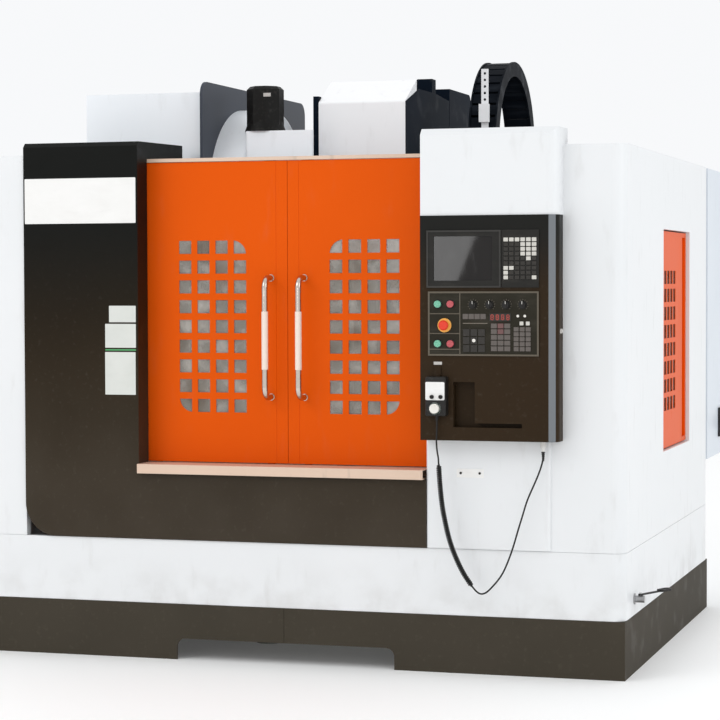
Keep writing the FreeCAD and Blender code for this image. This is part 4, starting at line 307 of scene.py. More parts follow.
def painted_casting(name, hue, deep):
    """Filled and painted iron: a slow hand-worked surface under the paint, oil film and small pits."""
    iron = Finish(name)
    oil = iron.spots(size=0.18, detail=6, low=0.45, high=0.7)
    pits = iron.patches(size=0.007, detail=4)
    colour = iron.mixed(iron.patches(size=0.3, detail=4), deep, hue)
    colour = iron.mixed(oil * 0.35, colour, OIL)
    normal = iron.relief(iron.patches(size=0.09, detail=2), depth=0.0015)
    normal = iron.relief(pits, depth=0.00025, over=normal)
    return iron.shown(Base_Color=colour, Roughness=0.5 - 0.2 * oil + 0.1 * pits, Normal=normal)


def machined_metal(name, hue):
    """Ground steel with fine tool marks along one way, oil stains and some wear."""
    steel = Finish(name)
    marks = steel.patches(size=0.0016, detail=3, stretch=BRUSHED)
    stain = steel.spots(size=0.07, detail=6, low=0.5, high=0.78)
    colour = steel.mixed(marks * 0.5, hue, TOOL_MARK)
    colour = steel.mixed(stain * 0.3, colour, COOLANT_STAIN)
    return steel.shown(Base_Color=colour, Metallic=1.0 - 0.2 * stain,
                       Roughness=0.26 + 0.16 * stain + 0.1 * marks, Normal=steel.relief(marks, depth=0.00004))


def polished_tube(name, hue, touched_hue):
    """Chromed tube with fingerprints."""
    chrome = Finish(name)
    prints = chrome.spots(size=0.012, detail=5, low=0.5, high=0.75)
    return chrome.shown(Base_Color=chrome.mixed(prints * 0.25, hue, touched_hue), Metallic=1.0,
                        Roughness=0.12 + 0.2 * prints,
                        Normal=chrome.relief(chrome.patches(size=0.03, detail=2), depth=0.00006))


def clear_pane(name, hue, misted, interior_shade_hue):
    """Clear plastic pane, hazed by coolant mist, darkened in brown patches as painted shade of the inside
    behind it, and finely scratched.
    """
    pane = Finish(name)
    mist = pane.spots(size=0.09, detail=6, low=0.35, high=0.75)
    scratch = pane.spots(size=0.004, detail=4, low=0.62, high=0.8, stretch=SCRATCHED_ACROSS)
    # painted shade: brown patches that stand for the dark inside of the enclosure seen through the pane
    interior_shade = pane.spots(size=0.2, detail=2, low=0.5, high=0.66)
    colour = pane.mixed(interior_shade * 0.55, pane.mixed(mist, hue, misted), interior_shade_hue)
    return pane.shown(Base_Color=colour, Alpha=0.42 + 0.18 * mist + 0.14 * scratch,
                      Roughness=0.08 + 0.22 * mist + 0.2 * scratch,
                      Normal=pane.relief(pane.patches(size=0.3, detail=1), depth=0.0006))


def smoked_pane(name, hue, filmed):
    """Smoked plastic pane of the side door, brown with age and coolant."""
    pane = Finish(name)
    film = pane.spots(size=0.06, detail=6, low=0.35, high=0.75)
    return pane.shown(Base_Color=pane.mixed(film, hue, filmed), Alpha=0.8 + 0.14 * film,
                      Roughness=0.2 + 0.3 * film, IOR=1.08,
                      Normal=pane.relief(pane.patches(size=0.3, detail=1), depth=0.0006))


def moulded_plastic(name, hue, gloss, worn=ink("6f6a64"), shine=0.4):
    """Moulded plastic with a fine spark-eroded grain, shiny where hands touch it."""
    plastic = Finish(name)
    grains = plastic.patches(size=0.0009, detail=2)
    touched = plastic.spots(size=0.014, detail=5, low=0.5, high=0.8)
    colour = plastic.mixed(touched * 0.1, hue, worn)
    return plastic.shown(Base_Color=colour, Roughness=gloss - 0.12 * touched + 0.1 * grains,
                         Normal=plastic.relief(grains, depth=0.00005), Specular_IOR_Level=shine)


def chain_plastic(name, hue, rubbed_hue, strip_hue):
    """Glass-filled plastic links with a rubbed sheen, and the pale clip strip with its clamp at the front."""
    links = Finish(name)
    grains = links.patches(size=0.0012, detail=3)
    rubbed = links.spots(size=0.05, detail=6, low=0.45, high=0.75, stretch=RUBBED_ACROSS)
    clip = links.grown(links.strip(*CHAIN_STRIP) + links.strip(*CHAIN_CLAMP), low=0.2, high=0.8)
    colour = links.mixed(rubbed * 0.1, hue, rubbed_hue)
    colour = links.mixed(clip, colour, strip_hue)
    return links.shown(Base_Color=colour, Roughness=0.46 - 0.1 * rubbed + 0.1 * grains,
                       Normal=links.relief(grains, depth=0.00008), IOR=1.1)


def display_glass(name, hue, deep):
    """Dark display behind hard glass, with wiped smears."""
    glass = Finish(name)
    wiped = glass.spots(size=0.03, detail=5, low=0.45, high=0.8, stretch=WIPED_UPRIGHT)
    colour = glass.mixed(glass.patches(size=0.2, detail=2), deep, hue)
    return glass.shown(Base_Color=colour, Roughness=0.03 + 0.06 * wiped, Coat_Weight=0.06 + 0.12 * wiped,
                       Specular_IOR_Level=0.2)


def lit_lens(name, hue, core, glow):
    """Ribbed lamp lens with a brighter core."""
    lens = Finish(name)
    ribs = lens.patches(size=0.0022, detail=2)
    colour = lens.mixed(lens.grown(ribs, low=0.35, high=0.7), hue, core)
    return lens.shown(Base_Color=colour, Roughness=0.22 + 0.15 * ribs, Emission_Color=colour,
                      Emission_Strength=glow, Normal=lens.relief(ribs, depth=0.0003))


def cord_sheath(name, hue, bloomed):
    """Soft black sheath with a dull bloom."""
    rubber = Finish(name)
    bloom = rubber.spots(size=0.02, detail=5, low=0.45, high=0.8)
    return rubber.shown(Base_Color=rubber.mixed(bloom * 0.3, hue, bloomed), Roughness=0.38 + 0.2 * bloom,
                        Specular_IOR_Level=0.35,
                        Normal=rubber.relief(rubber.patches(size=0.002, detail=3), depth=0.00008))


def printed_film(name, hue, deep, gloss=0.36, rim=None):
    """Printed polyester film over a plate, with an even fine grain, faint wiping marks and a raised rim."""
    film = Finish(name)
    wiped = film.spots(size=0.04, detail=5, low=0.45, high=0.8, stretch=WIPED_ACROSS)
    grain = film.patches(size=0.0008, detail=2)
    colour = film.mixed(film.patches(size=0.1, detail=3), deep, hue)
    if rim:
        colour = film.mixed(film.axis("Y") < at(0, FILM_RIM_FRONT, 0).y, colour, rim)
    return film.shown(Base_Color=film.mixed(wiped * 0.06, colour, DUST),
                      Roughness=gloss - 0.1 * wiped + 0.06 * grain,
                      Normal=film.relief(grain, depth=0.00002), IOR=1.2)


def build_finishes():
    """The finish of each material slot in the record, and those of single pieces."""
    return {
        "white_paint": sprayed_sheet("white_enamel", ink("e6e7e8"), ink("e0e2e3"), 0.3),
        "head_white": sprayed_sheet("head_white", ink("f8f8f9"), ink("f3f3f4"), 0.34),
        # painted light: a brighter, bluer copy of the white enamel for covers that stand in shade
        "pale_paint": sprayed_sheet("pale_enamel_painted_light", ink("f7fafd"), ink("f2f6fa"), 0.3, dust=0.1),
        "grey_paint": sprayed_sheet("cabinet_grey", ink("d9dfe6"), ink("ced5dd"), 0.36),
        "cabinet_body": cabinet_body("cabinet_body", ink("d9dfe6"), ink("ced5dd"), ink("191817")),
        "cream_paint": sprayed_sheet("sill_cream", ink("dfc5b0"), ink("d0b49e"), 0.34, rub=0.5),
        "orange_paint": sprayed_sheet("door_orange", ink("e2580c"), ink("da5309"), 0.3, 0.08, 0.04, 1.12),
        "slate_paint": sprayed_sheet("slate_enamel", ink("3e434d"), ink("383d47"), 0.4, 0.1, 0.08, 1.3),
        # panel paint: darker top as a painted reflection, lighter film low down as dust and painted
        # reflection
        "black_paint": textured_paint("panel_black", ink("2b2112"), ink("241b0e"), dust_and_reflection=0.1, bend=1.19,
                                      reflected_dark_top=ink("0f100e")),
        # console paint: darker top as a painted reflection, light grey corner band as a painted highlight
        "console_paint": console_paint("console_black", ink("342719"), ink("2c2115"), ink("1f1f1d"),
                                       ink("75797d")),
        "hood_black": textured_paint("hood_black", ink("131c28"), ink("0f1721"), 0.5, bend=1.08),
        # base paint: lighter film low down as dust and painted reflection
        "base_paint": textured_paint("base_charcoal", ink("403a31"), ink("38342c"), 0.5, dust_and_reflection=0.05,
                                     bend=1.085),
        "casting_paint": painted_casting("casting_grey", ink("a9aca5"), ink("959990")),
        "machined_steel": machined_metal("ground_steel", ink("b9b9ba")),
        "bright_tube": polished_tube("polished_chrome", ink("cdc1b6"), ink("9c8f82")),
        # clear pane: the last colour is painted shade of the inside behind it
        "clear_pane": clear_pane("clear_polycarbonate", ink("a09b92"), ink("bdb8b0"), ink("6a5238")),
        "side_pane": smoked_pane("smoked_polycarbonate", ink("3c170e"), ink("5c2a1b")),
        "screen_glass": display_glass("display_glass", ink("221f1e"), ink("1a1817")),
        "black_plastic": moulded_plastic("moulded_black", ink("1a1816"), 0.42, shine=0.3),
        "motor_black": moulded_plastic("motor_black", ink("100f0d"), 0.45, shine=0.15),
        "chain_black": chain_plastic("chain_black", ink("0e1218"), ink("5b616b"), ink("dfe0e1")),
        "dark_panel": printed_film("panel_film", ink("2d2a21"), ink("26231b"), rim=ink("615a4f")),
        "screen_film": printed_film("screen_film", ink("2c2b29"), ink("252422"), rim=ink("3c3b39")),
        "cord_sheath": cord_sheath("cord_sheath", ink("121110"), ink("322f2b")),
        "green_plastic": lit_lens("green_lens", ink("2c8c68"), ink("93cdb6"), 0.12),
        "red_plastic": moulded_plastic("stop_red", ink("dc3418"), 0.3, worn=ink("a83a2a")),
        "red_lens": lit_lens("red_lens", ink("9a1f2a"), ink("c4666b"), 0.1),
        "white_plastic": moulded_plastic("moulded_white", ink("e3dfd7"), 0.34, worn=ink("b8b2a6")),
        "yellow_collar": moulded_plastic("collar_yellow", ink("efac4a"), 0.34),
        "plate_white": printed_film("plate_white", ink("efeeec"), ink("e6e5e2"), 0.3),
        "plate_grey": printed_film("plate_grey", ink("dcddd8"), ink("cbcec8"), 0.4),
        "plate_metal": printed_film("plate_metal", ink("c9c5c0"), ink("b5b1ac"), 0.4),
        "green_line": printed_film("green_line", ink("5fa66f"), ink("4f9660"), 0.4),
        "film_line": printed_film("film_line", ink("8a8276"), ink("7b746b"), 0.4),
        "dial_scale": printed_film("dial_scale", ink("21352a"), ink("1b2d24"), 0.4),
        "key_white": moulded_plastic("key_white", ink("c9c6be"), 0.4),
        "key_grey": moulded_plastic("key_grey", ink("5c5550"), 0.44),
        "key_rose": moulded_plastic("key_rose", ink("6a4a48"), 0.44),
        "key_dark": moulded_plastic("key_dark", ink("2f2c28"), 0.44, shine=0.3),
        "segment_red": lit_lens("segment_red", ink("9c2a24"), ink("d4513f"), 0.5),
        "grip_sleeve": moulded_plastic("grip_sleeve", ink("ecdccf"), 0.3, worn=ink("c9b8a8")),
    }


OWN_FINISH = {
    "console_housing": "console_paint", "head_hood": "hood_black", "z_drive_cover": "hood_black",
    "head_cover": "head_white", "cable_chain": "chain_black", "cam_motor": "motor_black",
    "side_window": "side_pane", "electrical_cabinet": "cabinet_body",
    "screen_unit": "screen_film", "power_off_button": "red_lens", "feed_hold_button": "red_lens",
}


def paint_frame_nodes(finishes):
    """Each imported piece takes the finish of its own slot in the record, or one of its own."""
    slots = {row["node"]: row["material_slot"] for row in frame["record"]["subparts"]}
    slots.update(OWN_FINISH)
    for node, piece in frame["nodes"].items():
        finish = finishes[slots[node]]
        if not piece.material_slots:
            piece.data.materials.append(finish)
        for slot in piece.material_slots:
            slot.material = finish


# ---------------------------------------------------------------- curly cord
CORD_THICKNESS = 0.007
CURL_TURNS = 60
CURL_RADIUS = 0.00765
POINTS_PER_CURL = 16
CURVE_STEPS = 4
ROUND_STEPS = 3
ROUTE_STEPS = 24
UPPER_RUN = ((0.686, -0.116, 1.025), (0.686, -0.116, 0.990), (0.684, -0.118, 0.940), (0.687, -0.116, 0.900),
             (0.691, -0.1135, 0.879))
CURLED_RUN = ((0.692, -0.113, 0.857), (0.6945, -0.111, 0.800), (0.699, -0.108, 0.735),
              (0.7055, -0.1055, 0.675), (0.7155, -0.103, 0.622), (0.727, -0.1005, 0.568),
              (0.7425, -0.098, 0.516), (0.762, -0.095, 0.468), (0.783, -0.092, 0.424),
              (0.8045, -0.0895, 0.390), (0.826, -0.087, 0.360))
LOWER_RUN = ((0.841, -0.0855, 0.343), (0.858, -0.084, 0.334), (0.879, -0.082, 0.341), (0.899, -0.080, 0.361),
             (0.922, -0.078, 0.387), (0.944, -0.076, 0.418), (0.965, -0.074, 0.465), (0.987, -0.071, 0.528),
             (1.004, -0.068, 0.590), (1.023, -0.065, 0.652), (1.037, -0.062, 0.702), (1.053, -0.060, 0.741),
             (1.070, -0.057, 0.779), (1.088, -0.054, 0.823), (1.099, -0.052, 0.858), (1.103, -0.052, 0.882),
             (1.103, -0.052, 0.903))


def spline_curve(name, points, thickness=0.0):
    """A smooth curve that the points pull along, with its ends on the first and last."""
    data = bpy.data.curves.new(name, "CURVE")
    data.dimensions = "3D"
    data.resolution_u = CURVE_STEPS
    data.bevel_depth = thickness / 2
    data.bevel_resolution = ROUND_STEPS
    data.use_fill_caps = True
    line = data.splines.new("NURBS")
    line.points.add(len(points) - 1)
    for place, point in zip(line.points, points):
        place.co = (*point, 1.0)
    line.order_u = 3
    line.use_endpoint_u = True
    curve = bpy.data.objects.new(name, data)
    bpy.context.scene.collection.objects.link(curve)
    return curve


def read_line(points):
    """Points along the smooth curve of a route."""
    curve = spline_curve("route", points)
    curve.data.resolution_u = ROUTE_STEPS
    mesh = bpy.data.meshes.new_from_object(curve)
    line = [vertex.co.copy() for vertex in mesh.vertices]
    bpy.data.objects.remove(curve)
    bpy.data.meshes.remove(mesh)
    return line


def wound(line, turns, radius, per_turn, lead):
    """Control points of a helix round a line, that starts and ends on it."""
    lengths = [0.0]
    for before, after in zip(line, line[1:]):
        lengths.append(lengths[-1] + (after - before).length)
    whole = lengths[-1]
    steps = turns * per_turn
    points = []
    piece = 0
    for step in range(steps + 1):
        distance = lead + (whole - 2 * lead) * step / steps
        while lengths[piece + 1] < distance:
            piece += 1
        share = (distance - lengths[piece]) / (lengths[piece + 1] - lengths[piece])
        centre = line[piece].lerp(line[piece + 1], share)
        along = (line[piece + 1] - line[piece]).normalized()
        side = (Vector(REARWARD) - along * along.y).normalized()
        up = along.cross(side)
        ramp = min(1.0, step / per_turn, (steps - step) / per_turn)
        angle = 2 * math.pi * step / per_turn
        points.append(centre + (side * math.cos(angle) + up * math.sin(angle)) * radius * ramp)
    return points


def build_cord(finishes):
    """Lead of the handheld unit: a short straight run, hanging curls, and a plain run up to the gland."""
    upper, curls, lower = ([at(*point) for point in run] for run in (UPPER_RUN, CURLED_RUN, LOWER_RUN))
    helix = wound(read_line(curls), CURL_TURNS, CURL_RADIUS, POINTS_PER_CURL, CORD_THICKNESS)
    cord = spline_curve("curly_cord", upper + [curls[0]] + helix + [curls[-1]] + lower, CORD_THICKNESS)
    cord.data.materials.append(finishes["cord_sheath"])
    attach(cord, "machine")
    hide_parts("cord_upper", "cord_curl", "cord_lower")


# ---------------------------------------------------------------- shapes
def facing_front(u, z, depth):
    return at(u * MM, depth * MM, z * MM)


def facing_side(u, z, depth):
    return at(depth * MM, u * MM, z * MM)


CORNER_STEPS = 4
LEAST_CORNER = 0.05
SHARPEST_BEND = 40
SMALL_TURN = 24
CORD_TURN = 32
HANDLE_TURN = 40
ROUND_TURN = 48


def rounded_outline(x0, x1, z0, z1, corner):
    """Corner points of a rectangle with rounded corners, as two measures of its plane."""
    middles = ((x1 - corner, z1 - corner, 0), (x0 + corner, z1 - corner, 1),
               (x0 + corner, z0 + corner, 2), (x1 - corner, z0 + corner, 3))
    outline = []
    for x, z, quarter in middles:
        for step in range(CORNER_STEPS + 1):
            angle = math.pi / 2 * (quarter + step / CORNER_STEPS)
            outline.append((x + corner * math.cos(angle), z + corner * math.sin(angle)))
    return outline


def add_rings(form, rings):
    """Closes a pile of rings of points into one body."""
    rings = [[form.verts.new(point) for point in ring] for ring in rings]
    for inner, outer in zip(rings, rings[1:]):
        for step in range(len(inner)):
            after = (step + 1) % len(inner)
            form.faces.new((inner[step], inner[after], outer[after], outer[step]))
    form.faces.new(rings[-1])
    form.faces.new(list(reversed(rings[0])))


def add_tablet(form, edges, back, front, corner, bevel, facing=facing_front):
    """A flat rounded plate or key with a bevelled front edge. All measures are in millimetres."""
    x0, x1, z0, z1 = edges
    inward = bevel if back > front else -bevel
    rings = []
    for depth, inset in ((back, 0.0), (front + inward, 0.0), (front, bevel)):
        rounding = max(corner - inset, LEAST_CORNER)
        outline = rounded_outline(x0 + inset, x1 - inset, z0 + inset, z1 - inset, rounding)
        rings.append([facing(x, z, depth) for x, z in outline])
    add_rings(form, rings)


def add_stroke(form, start, end, width, back, front):
    """A flat printed stroke from one point to another on a plate that faces the operator."""
    (x0, z0), (x1, z1) = start, end
    length = math.hypot(x1 - x0, z1 - z0)
    across = ((z0 - z1) / length * width / 2, (x1 - x0) / length * width / 2)
    outline = [(x0 + across[0], z0 + across[1]), (x1 + across[0], z1 + across[1]),
               (x1 - across[0], z1 - across[1]), (x0 - across[0], z0 - across[1])]
    add_rings(form, [[facing_front(x, z, depth) for x, z in outline] for depth in (back, front)])


def add_ray(form, centre, angle, inner, outer, width, back, front):
    """A printed stroke that points away from the middle of a scale, at an angle in degrees."""
    along = (math.cos(math.radians(angle)), math.sin(math.radians(angle)))
    start, end = ((centre[0] + along[0] * reach, centre[1] + along[1] * reach) for reach in (inner, outer))
    add_stroke(form, start, end, width, back, front)


def add_turned(form, centre, axis, profile, steps):
    """A turned form about an axis through a point: pairs of radius and distance along it, in millimetres."""
    along = Vector(axis).normalized()
    side = along.orthogonal().normalized()
    up = along.cross(side)
    middle = at(*(part * MM for part in centre))
    rings = []
    for radius, distance in profile:
        point = middle + along * distance * MM
        ring = []
        for step in range(steps):
            angle = 2 * math.pi * step / steps
            ring.append(point + (side * math.cos(angle) + up * math.sin(angle)) * radius * MM)
        rings.append(ring)
    add_rings(form, rings)


def piece_of(name, form, finish, body, smooth=False):
    """Ends a form as a named piece on a body."""
    bmesh.ops.recalc_face_normals(form, faces=form.faces)
    data = bpy.data.meshes.new(name)
    form.to_mesh(data)
    form.free()
    data.materials.append(finish)
    piece = bpy.data.objects.new(name, data)
    bpy.context.scene.collection.objects.link(piece)
    if smooth:
        data.shade_smooth()
        data.set_sharp_from_angle(angle=math.radians(SHARPEST_BEND))
    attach(piece, body)


# ---------------------------------------------------------------- plates on the covers
# each plate's edges, its back and front, its corner and its bevel, in millimetres
NAME_PLATE = ((-1152, -645, 1825, 2015), -8.0, -8.8, 3, 0.3)
NOTICE_PLATES = (((-768, -647, 1410, 1479), -8.0, -8.7, 2, 0.25),
                 ((-786, -647, 1303, 1403), -8.0, -8.7, 2, 0.25),
                 ((-787, -649, 1106, 1285), -8.0, -8.7, 2, 0.25))
NOTICE_LINE = ((-786, -647, 1291, 1297), -8.0, -8.7, 1, 0.2)
SERVICE_PLATE = ((740, 852, 792, 827), -12.0, -13.2, 3, 0.4)
MOTOR_PLATE = ((-308, -274, 2391, 2407), 642, 641.3, 2, 0.3)
HOOK_PLATE = ((668, 702, 1246, 1258), -95, -95.7, 1.5, 0.25)
SERVICE_SCREWS = ((757, -13.2, 809.5), (835, -13.2, 809.5))
SCREW_FORM = ((5, 0), (5, 1.6), (4.2, 2.4), (2.6, 2.6), (2.4, 1.4))


def build_plate(name, plates, finish):
    form = bmesh.new()
    for plate in plates:
        add_tablet(form, *plate)
    piece_of(name, form, finish, "machine")


def build_plates(finishes):
    """The bare plates on the front panel, under the console, on the cam motor and over the hook."""
    build_plate("name_plate", (NAME_PLATE,), finishes["plate_white"])
    build_plate("notice_plates", NOTICE_PLATES, finishes["plate_grey"])
    build_plate("notice_line", (NOTICE_LINE,), finishes["green_line"])
    build_plate("service_plate", (SERVICE_PLATE,), finishes["plate_white"])
    form = bmesh.new()
    for centre in SERVICE_SCREWS:
        add_turned(form, centre, TO_OPERATOR, SCREW_FORM, SMALL_TURN)
    piece_of("service_screws", form, finishes["black_plastic"], "machine", True)
    build_plate("motor_plate", (MOTOR_PLATE,), finishes["plate_metal"])
    build_plate("hook_plate", (HOOK_PLATE,), finishes["plate_metal"])


# ---------------------------------------------------------------- console details
UNIT_FRONT = -99.0
KEY_FRONT = -101.5
CAP_FRONT = KEY_FRONT - 0.6
CAP_BACK = KEY_FRONT + 2
CAP_OVER = 0.6
CAP_CORNER = 2.0
CAP_BEVEL = 0.8
# each field of keys: left and lower edge, columns and rows, their pitches, and a key's width and height
KEYPAD = (955, 1585, 6, 9, 22.8, 18.6, 17, 14)
JOG_KEYS = (790, 1298, 3, 3, 31, 31.5, 26, 27)
MODE_KEYS = (904, 1302, 3, 5, 27, 22.5, 23, 18)
FUNCTION_KEYS = (996, 1302, 3, 5, 24, 19.5, 19, 16)
STRIP_KEYS = (789, 1428, 4, 1, 24, 24, 21, 20)
PAIR_KEYS = (1020, 1404, 2, 1, 25, 25, 14, 14)
DISPLAY = (898, 983, 1420, 1450)
WHITE_KEYS = ({(column, 8) for column in range(6)}
              | {(column, row) for column in (3, 4, 5) for row in (5, 6, 7)}
              | {(4, 4), (0, 2), (1, 2), (0, 1), (0, 0), (5, 0)})
ROSE_KEYS = {(1, 4), (1, 3)}
JOG_MIDDLE = (834, 1343)
JOG_BUTTON = ((7, -0.3), (7, 0.6), (6, 1.0))


def key_places(x0, z0, columns, rows, pitch_x, pitch_z, width, height):
    """Column and row of each key of a field, with its edges, counted from the lower left one."""
    for column in range(columns):
        for row in range(rows):
            x = x0 + column * pitch_x
            z = z0 + row * pitch_z
            yield (column, row), (x, x + width, z, z + height)


def build_key_caps(finishes):
    """A moulded cap over each key of the keypad and the machine panel, and the round jog button."""
    form = bmesh.new()
    add_turned(form, (JOG_MIDDLE[0], CAP_FRONT, JOG_MIDDLE[1]), TO_OPERATOR, JOG_BUTTON, SMALL_TURN)
    piece_of("jog_button", form, finishes["white_plastic"], "machine", True)
    caps = {"key_white": [], "key_dark": [], "key_grey": [], "key_rose": []}
    for place, edges in key_places(*KEYPAD):
        caps["key_white" if place in WHITE_KEYS else "key_dark"].append(edges)
    caps["key_dark"] += [edges for place, edges in key_places(*JOG_KEYS)]
    for place, edges in key_places(*MODE_KEYS):
        caps["key_rose" if place in ROSE_KEYS else "key_grey"].append(edges)
    for field in (FUNCTION_KEYS, STRIP_KEYS):
        caps["key_grey"] += [edges for place, edges in key_places(*field)]
    caps["key_white"] += [edges for place, edges in key_places(*PAIR_KEYS)]
    caps["key_dark"].append(DISPLAY)
    for finish, fields in caps.items():
        form = bmesh.new()
        for x0, x1, z0, z1 in fields:
            edges = (x0 - CAP_OVER, x1 + CAP_OVER, z0 - CAP_OVER, z1 + CAP_OVER)
            add_tablet(form, edges, CAP_BACK, CAP_FRONT, CAP_CORNER, CAP_BEVEL)
        piece_of(finish + "_caps", form, finishes[finish], "machine")


DIGITS = 4
DIGIT_WIDTH = 10
DIGIT_HEIGHT = 19
DIGIT_STROKE = 1.9
DIGIT_GAP = 1.4
DIGIT_BACK = CAP_FRONT + 0.3
DIGIT_FRONT = CAP_FRONT - 0.2


def build_digits(finishes):
    """Four seven-segment digits on the small display."""
    form = bmesh.new()
    x0, x1, z0, z1 = DISPLAY
    pitch = (x1 - x0) / DIGITS
    low = (z0 + z1 - DIGIT_HEIGHT) / 2
    half = DIGIT_HEIGHT / 2
    for index in range(DIGITS):
        left = x0 + (index + 0.5) * pitch - DIGIT_WIDTH / 2
        right = left + DIGIT_WIDTH
        strokes = [((left + DIGIT_GAP, low + rise), (right - DIGIT_GAP, low + rise))
                   for rise in (0, half, DIGIT_HEIGHT)]
        strokes += [((x, low + rise + DIGIT_GAP), (x, low + rise + half - DIGIT_GAP))
                    for rise in (0, half) for x in (left, right)]
        for start, end in strokes:
            add_stroke(form, start, end, DIGIT_STROKE, DIGIT_BACK, DIGIT_FRONT)
    piece_of("display_digits", form, finishes["segment_red"], "machine")


KNOBS = ((831, 1484), (898, 1484), (965, 1484), (1032, 1484))
KNOB_FRONT = -116.3
POINTER = (3, 15)
POINTER_WIDTH = 1.8
POINTER_BACK = KNOB_FRONT + 0.4
POINTER_FRONT = KNOB_FRONT - 0.2
SCALE_MARKS = 11
SCALE_START = 225
SCALE_STEP = -27
SCALE_REACH = (18.5, 22.5)
SCALE_WIDTH = 1.4
PRINT_BACK = UNIT_FRONT + 0.2
PRINT_FRONT = UNIT_FRONT - 0.2
JOG_LINE = ((789, 1411), (889, 1411))
JOG_LINE_WIDTH = 2.4
LAMPS = ((1012, 1440), (1040, 1440))
LAMP_FORM = ((5.4, 0), (5.4, 2.2), (4.6, 3.2), (2.4, 3.8), (0.4, 3.9))


def build_panel_marks(finishes):
    """Printed scale round each selector, the line over the jog keys, the two lamp lenses and the pointers."""
    form = bmesh.new()
    for centre in KNOBS:
        for mark in range(SCALE_MARKS):
            add_ray(form, centre, SCALE_START + SCALE_STEP * mark, *SCALE_REACH, SCALE_WIDTH, PRINT_BACK,
                    PRINT_FRONT)
    add_stroke(form, *JOG_LINE, JOG_LINE_WIDTH, PRINT_BACK, PRINT_FRONT)
    piece_of("panel_marks", form, finishes["film_line"], "machine")
    form = bmesh.new()
    for x, z in LAMPS:
        add_turned(form, (x, UNIT_FRONT, z), TO_OPERATOR, LAMP_FORM, SMALL_TURN)
    piece_of("panel_lamps", form, finishes["white_plastic"], "machine", True)
    for number, (x, z) in enumerate(KNOBS, 1):
        form = bmesh.new()
        foot, tip = ((x, z + reach) for reach in POINTER)
        add_stroke(form, foot, tip, POINTER_WIDTH, POINTER_BACK, POINTER_FRONT)
        piece_of("knob_pointer_" + str(number), form, finishes["white_plastic"], "knob " + str(number))


BUTTONS = ((687, 1487), (739, 1487), (687, 1330), (739, 1330))
BEZEL_FORM = ((18, 0), (18, 2.2), (17, 3.2), (14.8, 3.2), (14.6, 0))
STOP = (714, UNIT_FRONT, 1403)
COLLAR_FORM = ((28.3, 0), (28.3, 3.4), (27, 4.5), (10.5, 4.5))


def build_rings(finishes):
    """Yellow ring under the stop button, and black bezels round the four push buttons."""
    form = bmesh.new()
    add_turned(form, STOP, TO_OPERATOR, COLLAR_FORM, ROUND_TURN)
    piece_of("stop_collar_ring", form, finishes["yellow_collar"], "machine", True)
    form = bmesh.new()
    for x, z in BUTTONS:
        add_turned(form, (x, UNIT_FRONT, z), TO_OPERATOR, BEZEL_FORM, ROUND_TURN)
    piece_of("button_bezels", form, finishes["black_plastic"], "machine", True)


PENDANT_FRONT = -137.0
PENDANT_PLATE = ((645, 723, 1107, 1179), PENDANT_FRONT, PENDANT_FRONT - 0.3, 5, 0.1)
DIAL = (684, 1074)
DIAL_SCALE_FORM = ((24.5, 0), (24.5, 0.5), (8.5, 0.5))
DIAL_MARKS = 50
DIAL_STEP = 7.2
LONG_MARK = (20.5, 24)
SHORT_MARK = (22, 24)
LONG_MARK_EVERY = 5
DIAL_MARK_WIDTH = 0.5
DIAL_MARK_BACK = PENDANT_FRONT - 0.4
DIAL_MARK_FRONT = PENDANT_FRONT - 0.65


def build_pendant_trim(finishes):
    """White plate behind the pendant's two selectors, and the marked scale behind its dial."""
    build_plate("pendant_plate", (PENDANT_PLATE,), finishes["plate_white"])
    form = bmesh.new()
    add_turned(form, (DIAL[0], PENDANT_FRONT, DIAL[1]), TO_OPERATOR, DIAL_SCALE_FORM, ROUND_TURN)
    piece_of("dial_scale_ring", form, finishes["dial_scale"], "machine", True)
    form = bmesh.new()
    for mark in range(DIAL_MARKS):
        reach = SHORT_MARK if mark % LONG_MARK_EVERY else LONG_MARK
        add_ray(form, DIAL, DIAL_STEP * mark, *reach, DIAL_MARK_WIDTH, DIAL_MARK_BACK, DIAL_MARK_FRONT)
    piece_of("dial_scale_marks", form, finishes["plate_white"], "machine")


LATCH_PLATE = ((-54, -8, 1371, 1389), 1170.5, 1172.5, 6, 0.8)
LATCH_SLIDE = ((-44, -18, 1375, 1385), 1172.0, 1175.5, 3, 1.0)


def build_console_latch(finishes):
    """Flush slide latch on the console's right side."""
    form = bmesh.new()
    for part in (LATCH_PLATE, LATCH_SLIDE):
        add_tablet(form, *part, facing_side)
    piece_of("console_latch", form, finishes["plate_metal"], "machine")


BOOT_TOP = (1103, -52, 904)
BOOT_RADIUS = 7.4
BOOT_RIBS = 4
FIRST_RIB = 4
RIB_PITCH = 8
RIB_TAPER = 0.7
RIB_LIP = 6.9
GROOVE_RADIUS = 6.0
GROOVE_TAPER = 0.6
GROOVE_DROPS = (1.5, 4.5, 6)
BOOT_END = [(4.2, 37), (3.4, 37)]


def build_cord_boot(finishes):
    """Ribbed rubber boot where the cord goes into the gland, slimmer from rib to rib."""
    form = bmesh.new()
    profile = [(BOOT_RADIUS, 0)]
    groove_start, groove_end, next_rib = GROOVE_DROPS
    for rib in range(BOOT_RIBS):
        drop = FIRST_RIB + rib * RIB_PITCH
        groove = GROOVE_RADIUS - rib * GROOVE_TAPER
        profile += [(BOOT_RADIUS - rib * RIB_TAPER, drop), (groove, drop + groove_start),
                    (groove, drop + groove_end), (RIB_LIP - rib * RIB_TAPER, drop + next_rib)]
    add_turned(form, BOOT_TOP, DOWN, profile + BOOT_END, CORD_TURN)
    piece_of("cord_boot", form, finishes["cord_sheath"], "machine", True)


